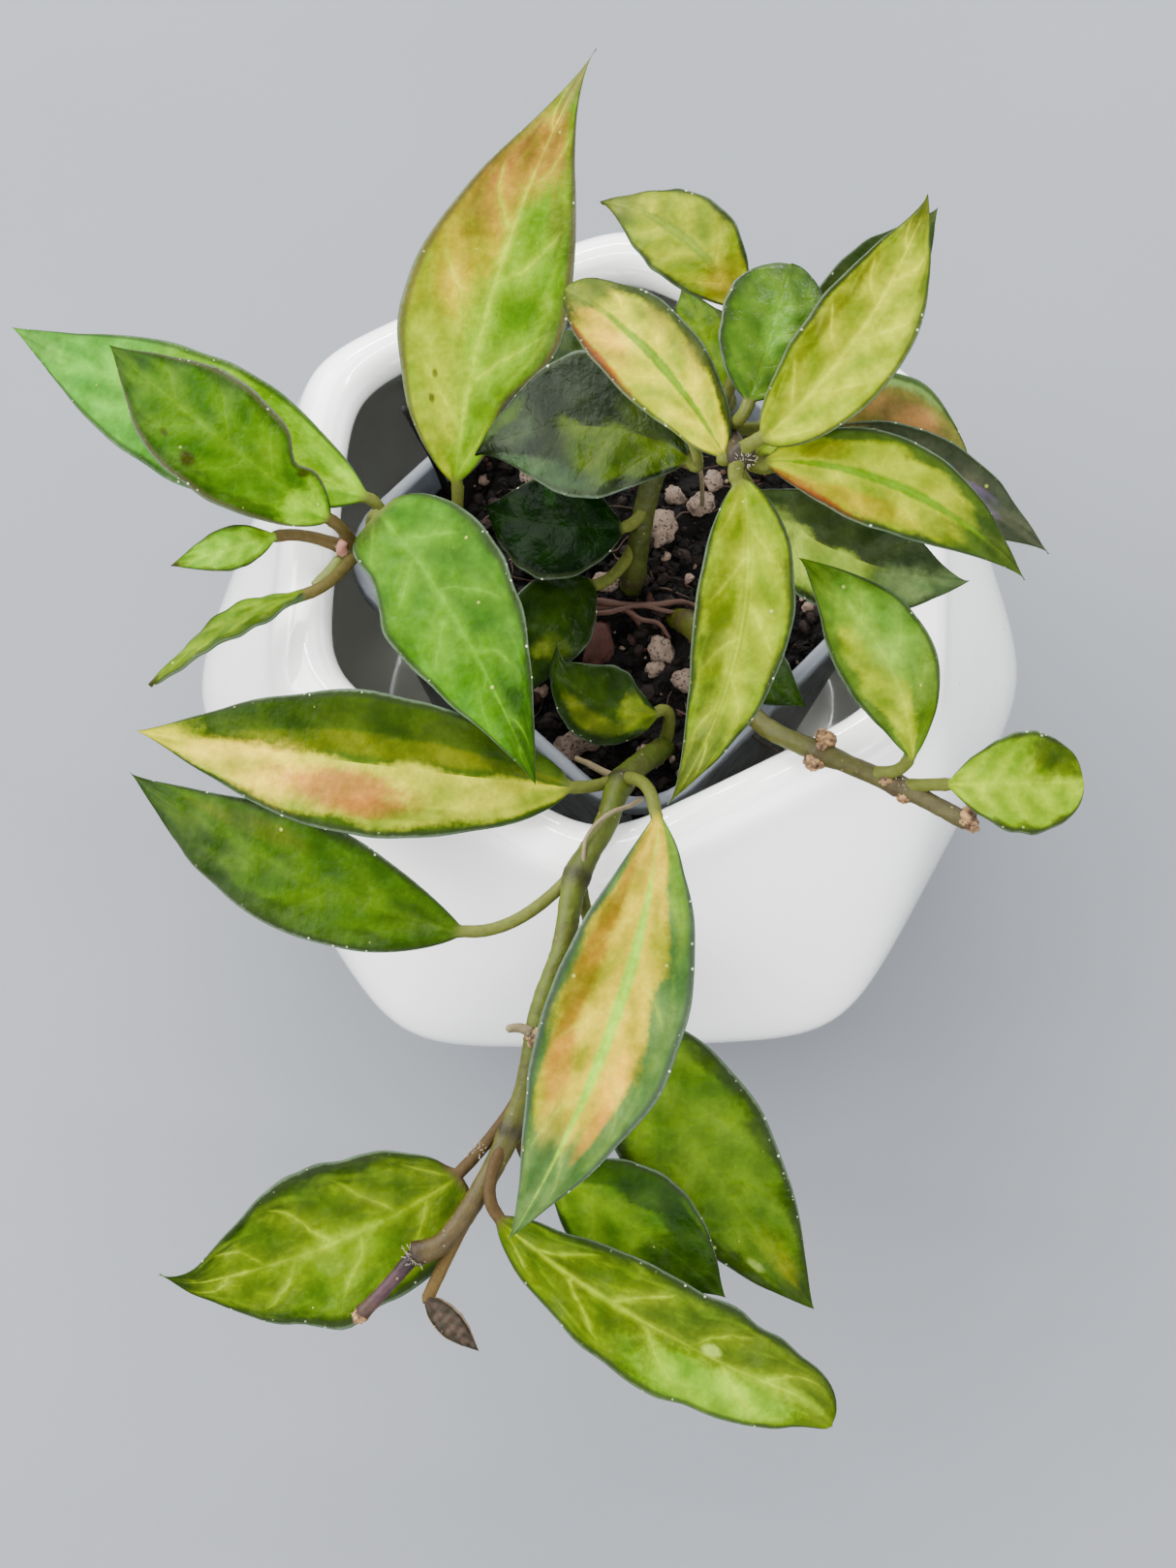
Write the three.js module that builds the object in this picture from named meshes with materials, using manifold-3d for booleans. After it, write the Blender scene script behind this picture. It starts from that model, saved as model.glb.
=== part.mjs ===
// A waxy-leaved climbing plant in a square nursery pot, which stands in a white faceted cachepot.
// Millimetres, +Z up. The origin is the centre of the cachepot's flat underside, and -Y is the front,
// where the long vine hangs over the lip.

import * as THREE from 'three';
import { mergeVertices } from 'three/addons/utils/BufferGeometryUtils.js';
import Module from 'manifold-3d';

const wasm = await Module();
wasm.setup();

// Cachepot
const potHeight = 122;
const beltHeight = 42; // the widest level
const shoulderHeight = 114; // where the facets end and the rolled lip begins
const beltRadius = 100.5; // to the corners of the belt, before they are softened
const shoulderRadius = 78;
const footRadius = 66;
const openingApothem = 55; // axis to the middle of one side of the mouth
const lipTwist = -3.8; // degrees that the mouth is turned against the belt
const potWall = 5;
const potFloor = 9;
const potSides = 6;
const facetSoftness = 22; // higher is crisper
const mouthSoftness = 14;

// Nursery pot and soil
const nurserySide = 89.5; // outside, at the rim
const nurseryBaseSide = 64;
const nurseryCorner = 16;
const nurseryTop = 111;
const nurseryRimBand = 4;
const nurseryRimStep = 1.2; // how far the rim stands out from the wall
const nurseryWall = 1.6;
const nurseryCentre = [3.5, 2];
const nurseryTurn = 45.6; // degrees
const drainHoleRadius = 4;
const drainHoleOffset = 19;
const soilTop = 102;

// Growth
const gap = 0.3; // clearance between neighbouring pieces
const petioleRadius = 1.2;
const bladeThickness = 1.2; // along the midrib
const edgeThickness = 0.75;
const bladeRows = 9; // steps from base to tip
const bladeColumns = 4; // steps from edge to edge
const stemSides = 7;
const stemStep = 6; // length of one step along a stem
const nodeSwelling = 0.2;
const towardsLight = new THREE.Vector3(0, -0.36, 0.93).normalize();

const colours = {
  glaze: 0xf4f4f2,
  plastic: 0x8d9196,
  soil: 0x2b211b,
  pumice: 0xc9b3a2,
  bark: 0x6a3425,
  twig: 0x1d1a19,
  youngStem: 0x7d8a3c,
  oldStem: 0x8a8450,
  purpleStalk: 0x6d4454,
  brownBud: 0x5c3a26,
  lime: 0xa9bb3a,
  green: 0x4f8a24,
  darkGreen: 0x2e5427,
  greyGreen: 0x76916a,
  yellow: 0xc3c24a,
  orange: 0xc9a063,
  pink: 0xc99a6b,
};

const plant = new THREE.Group();

function addPiece(name, geometry, colour, roughness = 0.45) {
  geometry.computeVertexNormals();
  const material = new THREE.MeshStandardMaterial({ color: colour, roughness, metalness: 0 });
  const mesh = new THREE.Mesh(geometry, material);
  mesh.name = name;
  plant.add(mesh);
}

// Solids

function pushSplitQuad(triangles, a, b, c, d, otherDiagonal) {
  if (otherDiagonal) {
    triangles.push(a, b, d, b, c, d);
  } else {
    triangles.push(a, b, c, a, c, d);
  }
}

// Joins rings of points into one closed skin. Each ring turns left about its way forward, and both
// ends are closed flat. On a blade the lower half of a ring is split like the upper half.
function loft(rings, isBlade = false) {
  const count = rings[0].length;
  const points = rings.flat();
  const triangles = [];
  for (let row = 0; row < rings.length - 1; row += 1) {
    for (let k = 0; k < count; k += 1) {
      const next = (k + 1) % count;
      const a = row * count + k;
      const b = row * count + next;
      pushSplitQuad(triangles, a, b, b + count, a + count, isBlade && k >= count / 2);
    }
  }
  const ends = [rings[0], rings[rings.length - 1]];
  ends.forEach((ring, end) => {
    const centre = new THREE.Vector3();
    ring.forEach((point) => centre.addScaledVector(point, 1 / count));
    const centreIndex = points.push(centre) - 1;
    const first = end * (rings.length - 1) * count;
    for (let k = 0; k < count; k += 1) {
      const here = first + k;
      const next = first + ((k + 1) % count);
      if (end === 0) {
        triangles.push(centreIndex, next, here);
      } else {
        triangles.push(centreIndex, here, next);
      }
    }
  });
  const geometry = new THREE.BufferGeometry().setFromPoints(points);
  geometry.setIndex(triangles);
  return geometry;
}

function solidOf(geometry) {
  const bare = geometry.clone();
  bare.deleteAttribute('normal');
  bare.deleteAttribute('uv');
  const merged = mergeVertices(bare, 1e-4);
  const vertProperties = new Float32Array(merged.attributes.position.array);
  const triVerts = new Uint32Array(merged.index.array);
  return new wasm.Manifold(new wasm.Mesh({ numProp: 3, vertProperties, triVerts }));
}

// The largest body is kept, so that a cut leaves no loose scrap.
function geometryOf(solid) {
  const bodies = solid.decompose();
  bodies.sort((one, other) => other.volume() - one.volume());
  const mesh = bodies[0].getMesh();
  const geometry = new THREE.BufferGeometry();
  geometry.setAttribute('position', new THREE.BufferAttribute(mesh.vertProperties.slice(), 3));
  geometry.setIndex(new THREE.BufferAttribute(mesh.triVerts.slice(), 1));
  return geometry;
}

function mix(from, to, share) {
  return from + (to - from) * share;
}

// Cachepot

// Distance from the axis to a soft-cornered outline of flat sides, each given by its facing
// direction and its own distance.
function softDistance(angle, sides, softness) {
  let sum = 0;
  for (const side of sides) {
    const facing = Math.max(0, Math.cos(angle - side.direction));
    sum += (facing / side.distance) ** softness;
  }
  return sum ** (-1 / softness);
}

function bodyRadius(angle, height) {
  const sides = [];
  const halfSide = Math.PI / potSides;
  const flat = Math.cos(halfSide);
  const ends = [
    { share: (height - beltHeight) / (shoulderHeight - beltHeight), radius: shoulderRadius },
    { share: (beltHeight - height) / beltHeight, radius: footRadius },
  ];
  for (const { share, radius } of ends) {
    for (let k = 0; k < potSides; k += 1) {
      const direction = -Math.PI / 2 + 2 * k * halfSide;
      const twisted = direction + halfSide + THREE.MathUtils.degToRad(lipTwist);
      sides.push({ direction, distance: mix(beltRadius * flat, radius, share) });
      sides.push({ direction: twisted, distance: mix(beltRadius, radius * flat, share) });
    }
  }
  return softDistance(angle, sides, facetSoftness);
}

function mouthRadius(angle) {
  const sides = [];
  for (let k = 0; k < potSides; k += 1) {
    const direction = -Math.PI / 2 + ((2 * k + 1) * Math.PI) / potSides;
    sides.push({ direction: direction + THREE.MathUtils.degToRad(lipTwist), distance: openingApothem });
  }
  return softDistance(angle, sides, mouthSoftness);
}

function cachepot() {
  const points = 36;
  const body = (height, inset) => (angle) => bodyRadius(angle, height) - inset;
  const lip = (share) => (angle) => mix(bodyRadius(angle, shoulderHeight), mouthRadius(angle), share);
  const profile = [
    [0, body(0, 4)],
    [3, body(3, 0.5)],
    [24, body(24, 0)],
    [34, body(34, 0)],
    [beltHeight, body(beltHeight, 0)],
    [50, body(50, 0)],
    [74, body(74, 0)],
    [98, body(98, 0)],
    [shoulderHeight, lip(0)],
    [118.5, lip(0.14)],
    [121.3, lip(0.38)],
    [potHeight, lip(0.62)],
    [121.2, lip(0.86)],
    [118.6, lip(1)],
    [115, lip(0.96)],
    [nurseryTop, body(nurseryTop, potWall)],
    [90, body(90, potWall)],
    [beltHeight, body(beltHeight, potWall + 1)],
    [potFloor + 8, body(potFloor + 8, potWall + 2)],
    [potFloor, body(potFloor, potWall + 9)],
  ];
  const rings = profile.map(([height, radius]) => {
    const ring = [];
    for (let k = 0; k < points; k += 1) {
      const angle = (2 * Math.PI * k) / points;
      const r = radius(angle);
      ring.push(new THREE.Vector3(r * Math.cos(angle), r * Math.sin(angle), height));
    }
    return ring;
  });
  return loft(rings);
}

// Nursery pot and soil

function squareRing(side, height, inset = 0) {
  const cornerSteps = 4;
  const corner = nurseryCorner * (side / nurserySide) - inset;
  const reach = side / 2 - inset - corner;
  const ring = [];
  for (let k = 0; k < 4; k += 1) {
    for (let step = 0; step <= cornerSteps; step += 1) {
      const angle = (k + step / cornerSteps) * (Math.PI / 2);
      const turned = (k + 0.5) * (Math.PI / 2);
      const x = reach * Math.SQRT2 * Math.cos(turned) + corner * Math.cos(angle);
      const y = reach * Math.SQRT2 * Math.sin(turned) + corner * Math.sin(angle);
      ring.push(new THREE.Vector3(x, y, height));
    }
  }
  const upright = new THREE.Vector3(0, 0, 1);
  return ring.map((point) => {
    point.applyAxisAngle(upright, THREE.MathUtils.degToRad(nurseryTurn));
    return point.add(new THREE.Vector3(nurseryCentre[0], nurseryCentre[1], 0));
  });
}

const nurseryBottom = potFloor + gap;

function nurseryWallSide(height) {
  const topSide = nurserySide - 2 * nurseryRimStep;
  return mix(nurseryBaseSide, topSide, (height - nurseryBottom) / (nurseryTop - nurseryBottom));
}

function nurseryPot() {
  const bandBottom = nurseryTop - nurseryRimBand;
  const floorTop = nurseryBottom + nurseryWall;
  const shell = loft([
    squareRing(nurseryBaseSide - 3, nurseryBottom),
    squareRing(nurseryWallSide(nurseryBottom + 2), nurseryBottom + 2),
    squareRing(nurseryWallSide(bandBottom), bandBottom),
    squareRing(nurserySide, bandBottom + 0.6),
    squareRing(nurserySide, nurseryTop - 0.5),
    squareRing(nurserySide, nurseryTop, 0.6),
    squareRing(nurserySide, nurseryTop, nurseryRimStep + nurseryWall),
    squareRing(nurseryWallSide(bandBottom), bandBottom, nurseryWall),
    squareRing(nurseryWallSide(floorTop), floorTop, nurseryWall),
  ]);
  let pot = solidOf(shell);
  for (const [sideX, sideY] of [[1, 1], [-1, 1], [-1, -1], [1, -1]]) {
    const hole = new THREE.CylinderGeometry(drainHoleRadius, drainHoleRadius, 4 * nurseryWall, 10);
    hole.rotateX(Math.PI / 2);
    const x = nurseryCentre[0] + sideX * drainHoleOffset * 0.7;
    const y = nurseryCentre[1] + sideY * drainHoleOffset * 0.7;
    hole.translate(x, y, nurseryBottom + nurseryWall / 2);
    pot = pot.subtract(solidOf(hole));
  }
  return geometryOf(pot);
}

function soilHeight(x, y) {
  return soilTop + 1.1 * Math.sin(0.21 * x + 0.9) * Math.cos(0.19 * y) + 0.7 * Math.sin(0.47 * x - 0.4 * y);
}

function soilBlock() {
  const wallGap = nurseryWall + gap;
  const bottom = nurseryBottom + nurseryWall + gap;
  const rings = [squareRing(nurseryWallSide(bottom), bottom, wallGap)];
  for (const share of [1, 0.86, 0.7, 0.52, 0.34, 0.16]) {
    const ring = squareRing(nurseryWallSide(soilTop), soilTop, wallGap);
    rings.push(ring.map((point) => {
      const x = mix(nurseryCentre[0], point.x, share);
      const y = mix(nurseryCentre[1], point.y, share);
      return new THREE.Vector3(x, y, soilHeight(x, y));
    }));
  }
  return loft(rings);
}

// Stones, bark and root in the soil's surface

function roughStone(radius, place, stretch, seed) {
  const stone = new THREE.IcosahedronGeometry(1, 1);
  const positions = stone.attributes.position;
  const point = new THREE.Vector3();
  for (let k = 0; k < positions.count; k += 1) {
    point.fromBufferAttribute(positions, k);
    const dent = 1 + 0.09 * Math.sin(3 * point.x + seed) * Math.cos(4 * point.y - seed);
    point.multiplyScalar(radius * dent);
    positions.setXYZ(k, point.x * stretch[0], point.y * stretch[1], point.z * stretch[2]);
  }
  stone.rotateZ(seed);
  stone.translate(place[0], place[1], soilHeight(place[0], place[1]) + 0.3 * radius);
  return stone;
}

const inSoil = [
  { name: 'pumice_stone_back', radius: 4.2, place: [10, 10], stretch: [1, 0.8, 0.7], colour: colours.pumice },
  { name: 'pumice_stone_middle', radius: 3.2, place: [9.5, -17.5], stretch: [1.1, 0.8, 0.7], colour: colours.pumice },
  { name: 'pumice_stone_right', radius: 2.8, place: [14, -24], stretch: [1, 0.9, 0.8], colour: colours.pumice },
  { name: 'pumice_stone_front', radius: 4, place: [-7, -36], stretch: [1.3, 0.7, 0.6], colour: colours.pumice },
  { name: 'pumice_stone_left', radius: 3.2, place: [-20, -14], stretch: [1, 0.8, 0.7], colour: colours.pumice },
  { name: 'bark_chunk', radius: 4.6, place: [-3.5, -16], stretch: [0.7, 1.2, 0.7], colour: colours.bark },
];

// Stems

function stem({ points, startRadius, endRadius, nodes = [], knobs = [] }) {
  const curve = new THREE.CatmullRomCurve3(points.map((p) => new THREE.Vector3(...p)));
  const steps = Math.ceil(curve.getLength() / stemStep);
  const frames = curve.computeFrenetFrames(steps, false);
  const nodePlaces = nodes.map((index) => new THREE.Vector3(...points[index]));
  const ringsOf = (extra) => {
    const rings = [];
    for (let step = 0; step <= steps; step += 1) {
      const centre = curve.getPointAt(step / steps);
      let radius = mix(startRadius, endRadius, step / steps);
      for (const place of nodePlaces) {
        radius *= 1 + nodeSwelling * Math.exp(-((centre.distanceTo(place) / 3.5) ** 2));
      }
      radius += extra;
      const ring = [];
      for (let k = 0; k < stemSides; k += 1) {
        const angle = (2 * Math.PI * k) / stemSides;
        const point = centre.clone();
        point.addScaledVector(frames.normals[step], radius * Math.cos(angle));
        point.addScaledVector(frames.binormals[step], radius * Math.sin(angle));
        ring.push(point);
      }
      rings.push(ring);
    }
    return rings;
  };
  const grown = (extra) => knobs.reduce(
    (solid, [place, radius]) => solid.add(lump(place, radius + extra)),
    solidOf(loft(ringsOf(extra))),
  );
  return { curve, solid: grown(0), clearance: grown(gap) };
}

function lump(place, radius) {
  const knob = new THREE.IcosahedronGeometry(radius, 0);
  knob.rotateX(0.4);
  knob.translate(...place);
  return solidOf(knob);
}

const tallStem = stem({
  points: [[2, -1, 86], [4, -3, 108], [6.2, 3.5, 126], [9, 9, 137], [12, 12, 149], [17, 3, 163],
    [21.5, -12.5, 175]],
  startRadius: 2.3,
  endRadius: 2,
  nodes: [1, 3, 5, 6],
});

const leftStem = stem({
  points: [[-25, 11, 88], [-29, 8, 108], [-33, 5, 117], [-39, 0, 124], [-45.5, -4, 126], [-53, -5.5, 127]],
  startRadius: 2.1,
  endRadius: 1.8,
  nodes: [2, 5],
});

const rightStem = stem({
  points: [[8, -4, 90], [15, -13, 106], [21.5, -29.5, 116], [28, -42.5, 123], [38, -49.5, 126.5],
    [52, -56.5, 127], [64.5, -64, 127]],
  startRadius: 2.3,
  endRadius: 1.7,
  nodes: [1, 4, 5],
  knobs: [
    [[39, -47.6, 127.5], 2.4],
    [[36.5, -51, 126], 2.2],
    [[50.2, -55.2, 127.8], 2],
    [[53.3, -58.4, 126.6], 2],
    [[64.5, -63.4, 127.4], 2.3],
  ],
});

const frontVine = stem({
  points: [[11, -33, 88], [8, -41.5, 108], [0, -53.5, 122], [-3, -63, 126], [-8.5, -73.5, 127],
    [-11.5, -87, 125], [-15.5, -97, 121], [-18.5, -109.5, 114], [-21.5, -117, 109.5],
    [-28.5, -129.5, 106], [-35, -137.5, 105], [-39.5, -139, 104.5]],
  startRadius: 2.4,
  endRadius: 1.95,
  nodes: [2, 4, 8, 11],
  knobs: [[[-16.5, -102, 119.5], 2.2]],
});

const flowerStalk = stem({
  points: [[-39.5, -139, 104.5], [-45, -144.5, 101.5], [-49.5, -148.5, 98.5]],
  startRadius: 1.45,
  endRadius: 1.15,
  nodes: [2],
  knobs: [[[-49.9, -149.1, 98.2], 1.7]],
});

const twig = stem({
  points: [[-33, 16, 92], [-35, 18.5, 112], [-41, 21.5, 134]],
  startRadius: 0.9,
  endRadius: 0.6,
});

const surfaceRoot = stem({
  points: [[-8, -7.5, 102.4], [-2, -8.5, 104.2], [3, -9, 104], [6.5, -13, 102]],
  startRadius: 1.1,
  endRadius: 0.7,
});

// Leaves

// Half the blade's width at a share of the way from base to tip, on one side (1 left, -1 right).
function halfWidth(shape, share, side) {
  const rising = share < shape.widest;
  const along = rising ? share / shape.widest : (1 - share) / (1 - shape.widest);
  const fullness = rising ? shape.baseFull : shape.tipFull;
  let half = (shape.width / 2) * Math.sin((along * Math.PI) / 2) ** fullness;
  if (shape.notch && Math.sign(side) === shape.notch.side) {
    half *= 1 - shape.notch.depth * Math.exp(-(((share - shape.notch.at) / shape.notch.length) ** 2));
  }
  return half;
}

function bladeRing(shape, share, centre, left, up) {
  const upper = [];
  const lower = [];
  for (let column = 0; column <= bladeColumns; column += 1) {
    const side = 1 - (2 * column) / bladeColumns;
    const half = Math.max(halfWidth(shape, share, side), shape.minimum);
    const waving = Math.sin(2 * Math.PI * shape.waves * share + 2 * Math.sign(side));
    const lift = (shape.cup * half + shape.waveHeight * waving * Math.min(1, 4 * share)) * side * side;
    const thickness = mix(bladeThickness, edgeThickness, side * side);
    const middle = centre.clone();
    middle.addScaledVector(left, half * side);
    middle.addScaledVector(up, lift);
    upper.push(middle.clone().addScaledVector(up, thickness / 2));
    lower.unshift(middle.clone().addScaledVector(up, -thickness / 2));
  }
  return [...upper, ...lower];
}

function petioleRing(centre, left, up) {
  const count = 2 * (bladeColumns + 1);
  const ring = [];
  for (let k = 0; k < count; k += 1) {
    const angle = (2 * Math.PI * (k + 0.5)) / count;
    const point = centre.clone();
    point.addScaledVector(left, petioleRadius * Math.cos(angle));
    point.addScaledVector(up, petioleRadius * Math.sin(angle));
    ring.push(point);
  }
  return ring;
}

// The midrib arches up between base and tip and bends to the left (negative to the right).
// Some tips hook aside from hookFrom on.
function midribPoint(shape, frame, share) {
  const point = frame.base.clone().lerp(frame.tip, share);
  point.addScaledVector(frame.up, shape.arch * Math.sin(Math.PI * share ** 0.9));
  point.addScaledVector(frame.left, shape.bend * Math.sin(Math.PI * share ** 0.9) ** 0.75);
  const hooked = Math.max(0, (share - hookFrom) / (1 - hookFrom)) ** 2;
  point.addScaledVector(frame.left, shape.hook * hooked);
  return point;
}

function bladeFrame(shape, base, tip) {
  const forward = tip.clone().sub(base).normalize();
  const up = towardsLight.clone().addScaledVector(forward, -towardsLight.dot(forward)).normalize();
  up.applyAxisAngle(forward, THREE.MathUtils.degToRad(shape.roll));
  const left = new THREE.Vector3().crossVectors(up, forward);
  return { base, tip, up, left };
}

function squareTo(tangent, reference) {
  return reference.clone().addScaledVector(tangent, -reference.dot(tangent)).normalize();
}

const hookFrom = 0.86; // share of the blade's length

const usualLeaf = {
  width: 18,
  widest: 0.42,
  baseFull: 0.75,
  tipFull: 1.15,
  bend: 0,
  hook: 0,
  arch: 4,
  roll: 0,
  cup: 0.12,
  waves: 1.5,
  waveHeight: 0.5,
  minimum: 0.6,
  petioleBow: 0.4, // how far the petiole follows the midrib's way, as a share of its length
  petioleSteps: 3,
};

function leaf(name, parent, at, baseAt, tipAt, settings, colour) {
  const shape = { ...usualLeaf, ...settings };
  const base = new THREE.Vector3(...baseAt);
  const frame = bladeFrame(shape, base, new THREE.Vector3(...tipAt));
  const start = parent.curve.getPointAt(at);
  const nearBase = midribPoint(shape, frame, 0.03);
  const firstWay = nearBase.sub(base).normalize();
  const bendPoint = base.clone().addScaledVector(firstWay, -shape.petioleBow * start.distanceTo(base));
  const petiole = new THREE.QuadraticBezierCurve3(start, bendPoint, base);
  const rings = [];
  for (let step = 0; step < shape.petioleSteps; step += 1) {
    const share = step / shape.petioleSteps;
    const left = squareTo(petiole.getTangentAt(share), frame.left);
    const up = new THREE.Vector3().crossVectors(petiole.getTangentAt(share), left);
    rings.push(petioleRing(petiole.getPointAt(share), left, up));
  }
  rings.push(petioleRing(base, squareTo(firstWay, frame.left), squareTo(firstWay, frame.up)));
  for (let row = 1; row <= bladeRows; row += 1) {
    const share = 0.5 - 0.5 * Math.cos((Math.PI * row) / bladeRows);
    const ahead = midribPoint(shape, frame, Math.min(1, share + 0.01));
    const behind = midribPoint(shape, frame, share - 0.01);
    const forward = ahead.sub(behind).normalize();
    const left = squareTo(forward, frame.left);
    const up = new THREE.Vector3().crossVectors(forward, left);
    rings.push(bladeRing(shape, share, midribPoint(shape, frame, share), left, up));
  }
  const solid = solidOf(loft(rings, true)).subtract(parent.clearance);
  addPiece(name, geometryOf(solid), colour);
}

// Pots, soil and what lies in it

addPiece('cachepot', cachepot(), colours.glaze, 0.12);
addPiece('nursery_pot', nurseryPot(), colours.plastic, 0.5);

const stemsInSoil = [tallStem, leftStem, rightStem, frontVine, twig, surfaceRoot];
let soil = solidOf(soilBlock());
stemsInSoil.forEach((one) => {
  soil = soil.subtract(one.clearance);
});
inSoil.forEach(({ name, radius, place, stretch, colour }, index) => {
  const seed = index + 1;
  soil = soil.subtract(solidOf(roughStone(radius + gap, place, stretch, seed)));
  addPiece(name, roughStone(radius, place, stretch, seed), colour, 0.9);
});
addPiece('potting_soil', geometryOf(soil), colours.soil, 0.95);

// Stems

addPiece('tall_stem', geometryOf(tallStem.solid), colours.youngStem);
addPiece('left_stem', geometryOf(leftStem.solid), colours.youngStem);
addPiece('right_stem', geometryOf(rightStem.solid), colours.oldStem);
addPiece('front_vine', geometryOf(frontVine.solid), colours.youngStem);
const stalkSolid = flowerStalk.solid.subtract(frontVine.clearance);
addPiece('flower_stalk', geometryOf(stalkSolid), colours.purpleStalk);
addPiece('dry_twig', geometryOf(twig.solid), colours.twig);
addPiece('surface_root', geometryOf(surfaceRoot.solid), colours.bark);

// Crown of leaves on the tall stem

leaf('crown_leaf_left', tallStem, 0.97, [18.3, -11, 172.5], [-9, 28, 166],
  { width: 17, bend: -2.4, widest: 0.5, baseFull: 0.55, tipFull: 0.55, arch: 5 }, colours.yellow);
leaf('crown_leaf_round', tallStem, 0.88, [23, -3, 178], [31, 21, 184],
  { width: 19, widest: 0.55, baseFull: 0.6, tipFull: 0.5, arch: 2 }, colours.green);
leaf('crown_leaf_pale', tallStem, 0.98, [24.6, -10.6, 178.3], [55, 31, 190],
  { width: 18.5, bend: -4, baseFull: 0.52, arch: 4 }, colours.lime);
leaf('crown_leaf_right', tallStem, 0.95, [25.8, -12.6, 172.3], [72, -31, 162],
  { width: 17, bend: 5.3, widest: 0.38, baseFull: 0.65 }, colours.yellow);
leaf('crown_leaf_front', tallStem, 0.99, [20.6, -16, 173], [8, -65, 142],
  { width: 17.5, bend: 6, widest: 0.35, baseFull: 0.52, arch: 5 }, colours.lime);
leaf('crown_leaf_back', tallStem, 0.84, [22.5, 22, 168], [-2, 48, 164],
  { width: 17, bend: -3.5, baseFull: 0.6 }, colours.yellow);
leaf('crown_leaf_shaded', tallStem, 0.87, [28, -1, 168], [60, 40.5, 172],
  { width: 17, bend: -0.5, widest: 0.5 }, colours.darkGreen);
leaf('crown_leaf_under', tallStem, 0.81, [21, 8, 160], [13, 34.5, 156],
  { width: 12, arch: 2 }, colours.green);
leaf('crown_leaf_right_under', tallStem, 0.83, [28, -8, 163], [79, -21, 152],
  { width: 18, bend: 5, widest: 0.38, arch: 4 }, colours.green);
leaf('crown_leaf_pink', tallStem, 0.77, [26, -3, 158], [68, -6, 149],
  { width: 24, bend: 6.5, widest: 0.5, arch: 3 }, colours.pink);
leaf('crown_leaf_dark', tallStem, 0.71, [25, -5, 149], [67, -18.5, 136],
  { width: 22, bend: -5, widest: 0.45, arch: 3 }, colours.darkGreen);

// Leaves inside the pot's mouth

leaf('inner_leaf_broad', tallStem, 0.66, [14.5, 2, 146], [-27, 12, 132],
  { width: 28, bend: -6, widest: 0.45, baseFull: 0.6, arch: 3 }, colours.darkGreen);
leaf('inner_leaf_grey', tallStem, 0.5, [5, 13, 134], [-11, 42, 130],
  { width: 18, arch: 3 }, colours.greyGreen);
leaf('inner_leaf_dark', tallStem, 0.45, [2, 0, 124], [-26, 9, 116],
  { width: 22, bend: 2, arch: 3 }, colours.darkGreen);
leaf('inner_leaf_striped', tallStem, 0.32, [-4, -7, 112], [-18.5, -31.5, 109.5],
  { width: 17, bend: -3.5, baseFull: 0.6, arch: 3 }, colours.darkGreen);
leaf('inner_leaf_front', frontVine, 0.11, [8, -35, 113], [-13, -24, 117],
  { width: 16, bend: 4, hook: -3, arch: 2 }, colours.darkGreen);
leaf('inner_leaf_right', rightStem, 0.28, [17, -17, 110], [37, -36, 116],
  { width: 15, arch: 2 }, colours.green);

// Leaves of the left stem

leaf('left_leaf_tall', leftStem, 0.5, [-31, 10, 124], [-2, 88, 158],
  {
    width: 32.5,
    widest: 0.36,
    bend: 4.5,
    tipFull: 1.7,
    arch: 6,
    notch: { side: -1, at: 0.17, depth: 0.4, length: 0.1 },
  }, colours.orange);
leaf('left_leaf_drooping', leftStem, 0.9, [-46, -1.5, 133], [-16, -58.9, 136.5],
  {
    width: 28,
    bend: 3,
    widest: 0.3,
    baseFull: 0.33,
    arch: 4,
    notch: { side: -1, at: 0.2, depth: 0.28, length: 0.14 },
  }, colours.green);
leaf('left_leaf_far', leftStem, 0.86, [-48, 3.5, 131], [-121, 45, 128],
  { width: 26, bend: 1, arch: 4 }, colours.greyGreen);
leaf('left_leaf_torn', leftStem, 0.97, [-55, -3, 135], [-98, 32, 142],
  {
    width: 22.5,
    bend: 1,
    widest: 0.5,
    baseFull: 0.6,
    notch: { side: -1, at: 0.2, depth: 0.35, length: 0.05 },
  }, colours.green);
leaf('left_leaf_small', leftStem, 0.99, [-66, -4, 130], [-86, -10.5, 131],
  { width: 8.5, arch: 1 }, colours.lime);
leaf('left_leaf_narrow', leftStem, 0.95, [-60, -16, 129], [-90, -33, 125],
  { width: 11, roll: 55, arch: 2 }, colours.lime);

// Leaves of the right stem

leaf('right_leaf_upright', rightStem, 0.8, [53.5, -53.5, 133], [32.5, -23.5, 157],
  { width: 18, bend: -4.5, widest: 0.5, arch: 4 }, colours.greyGreen);
leaf('right_leaf_round', rightStem, 0.86, [61, -58, 131], [85.5, -59, 134],
  { width: 19, widest: 0.6, baseFull: 0.8, tipFull: 0.45, arch: 2 }, colours.lime);

// Leaves of the front vine

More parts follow.
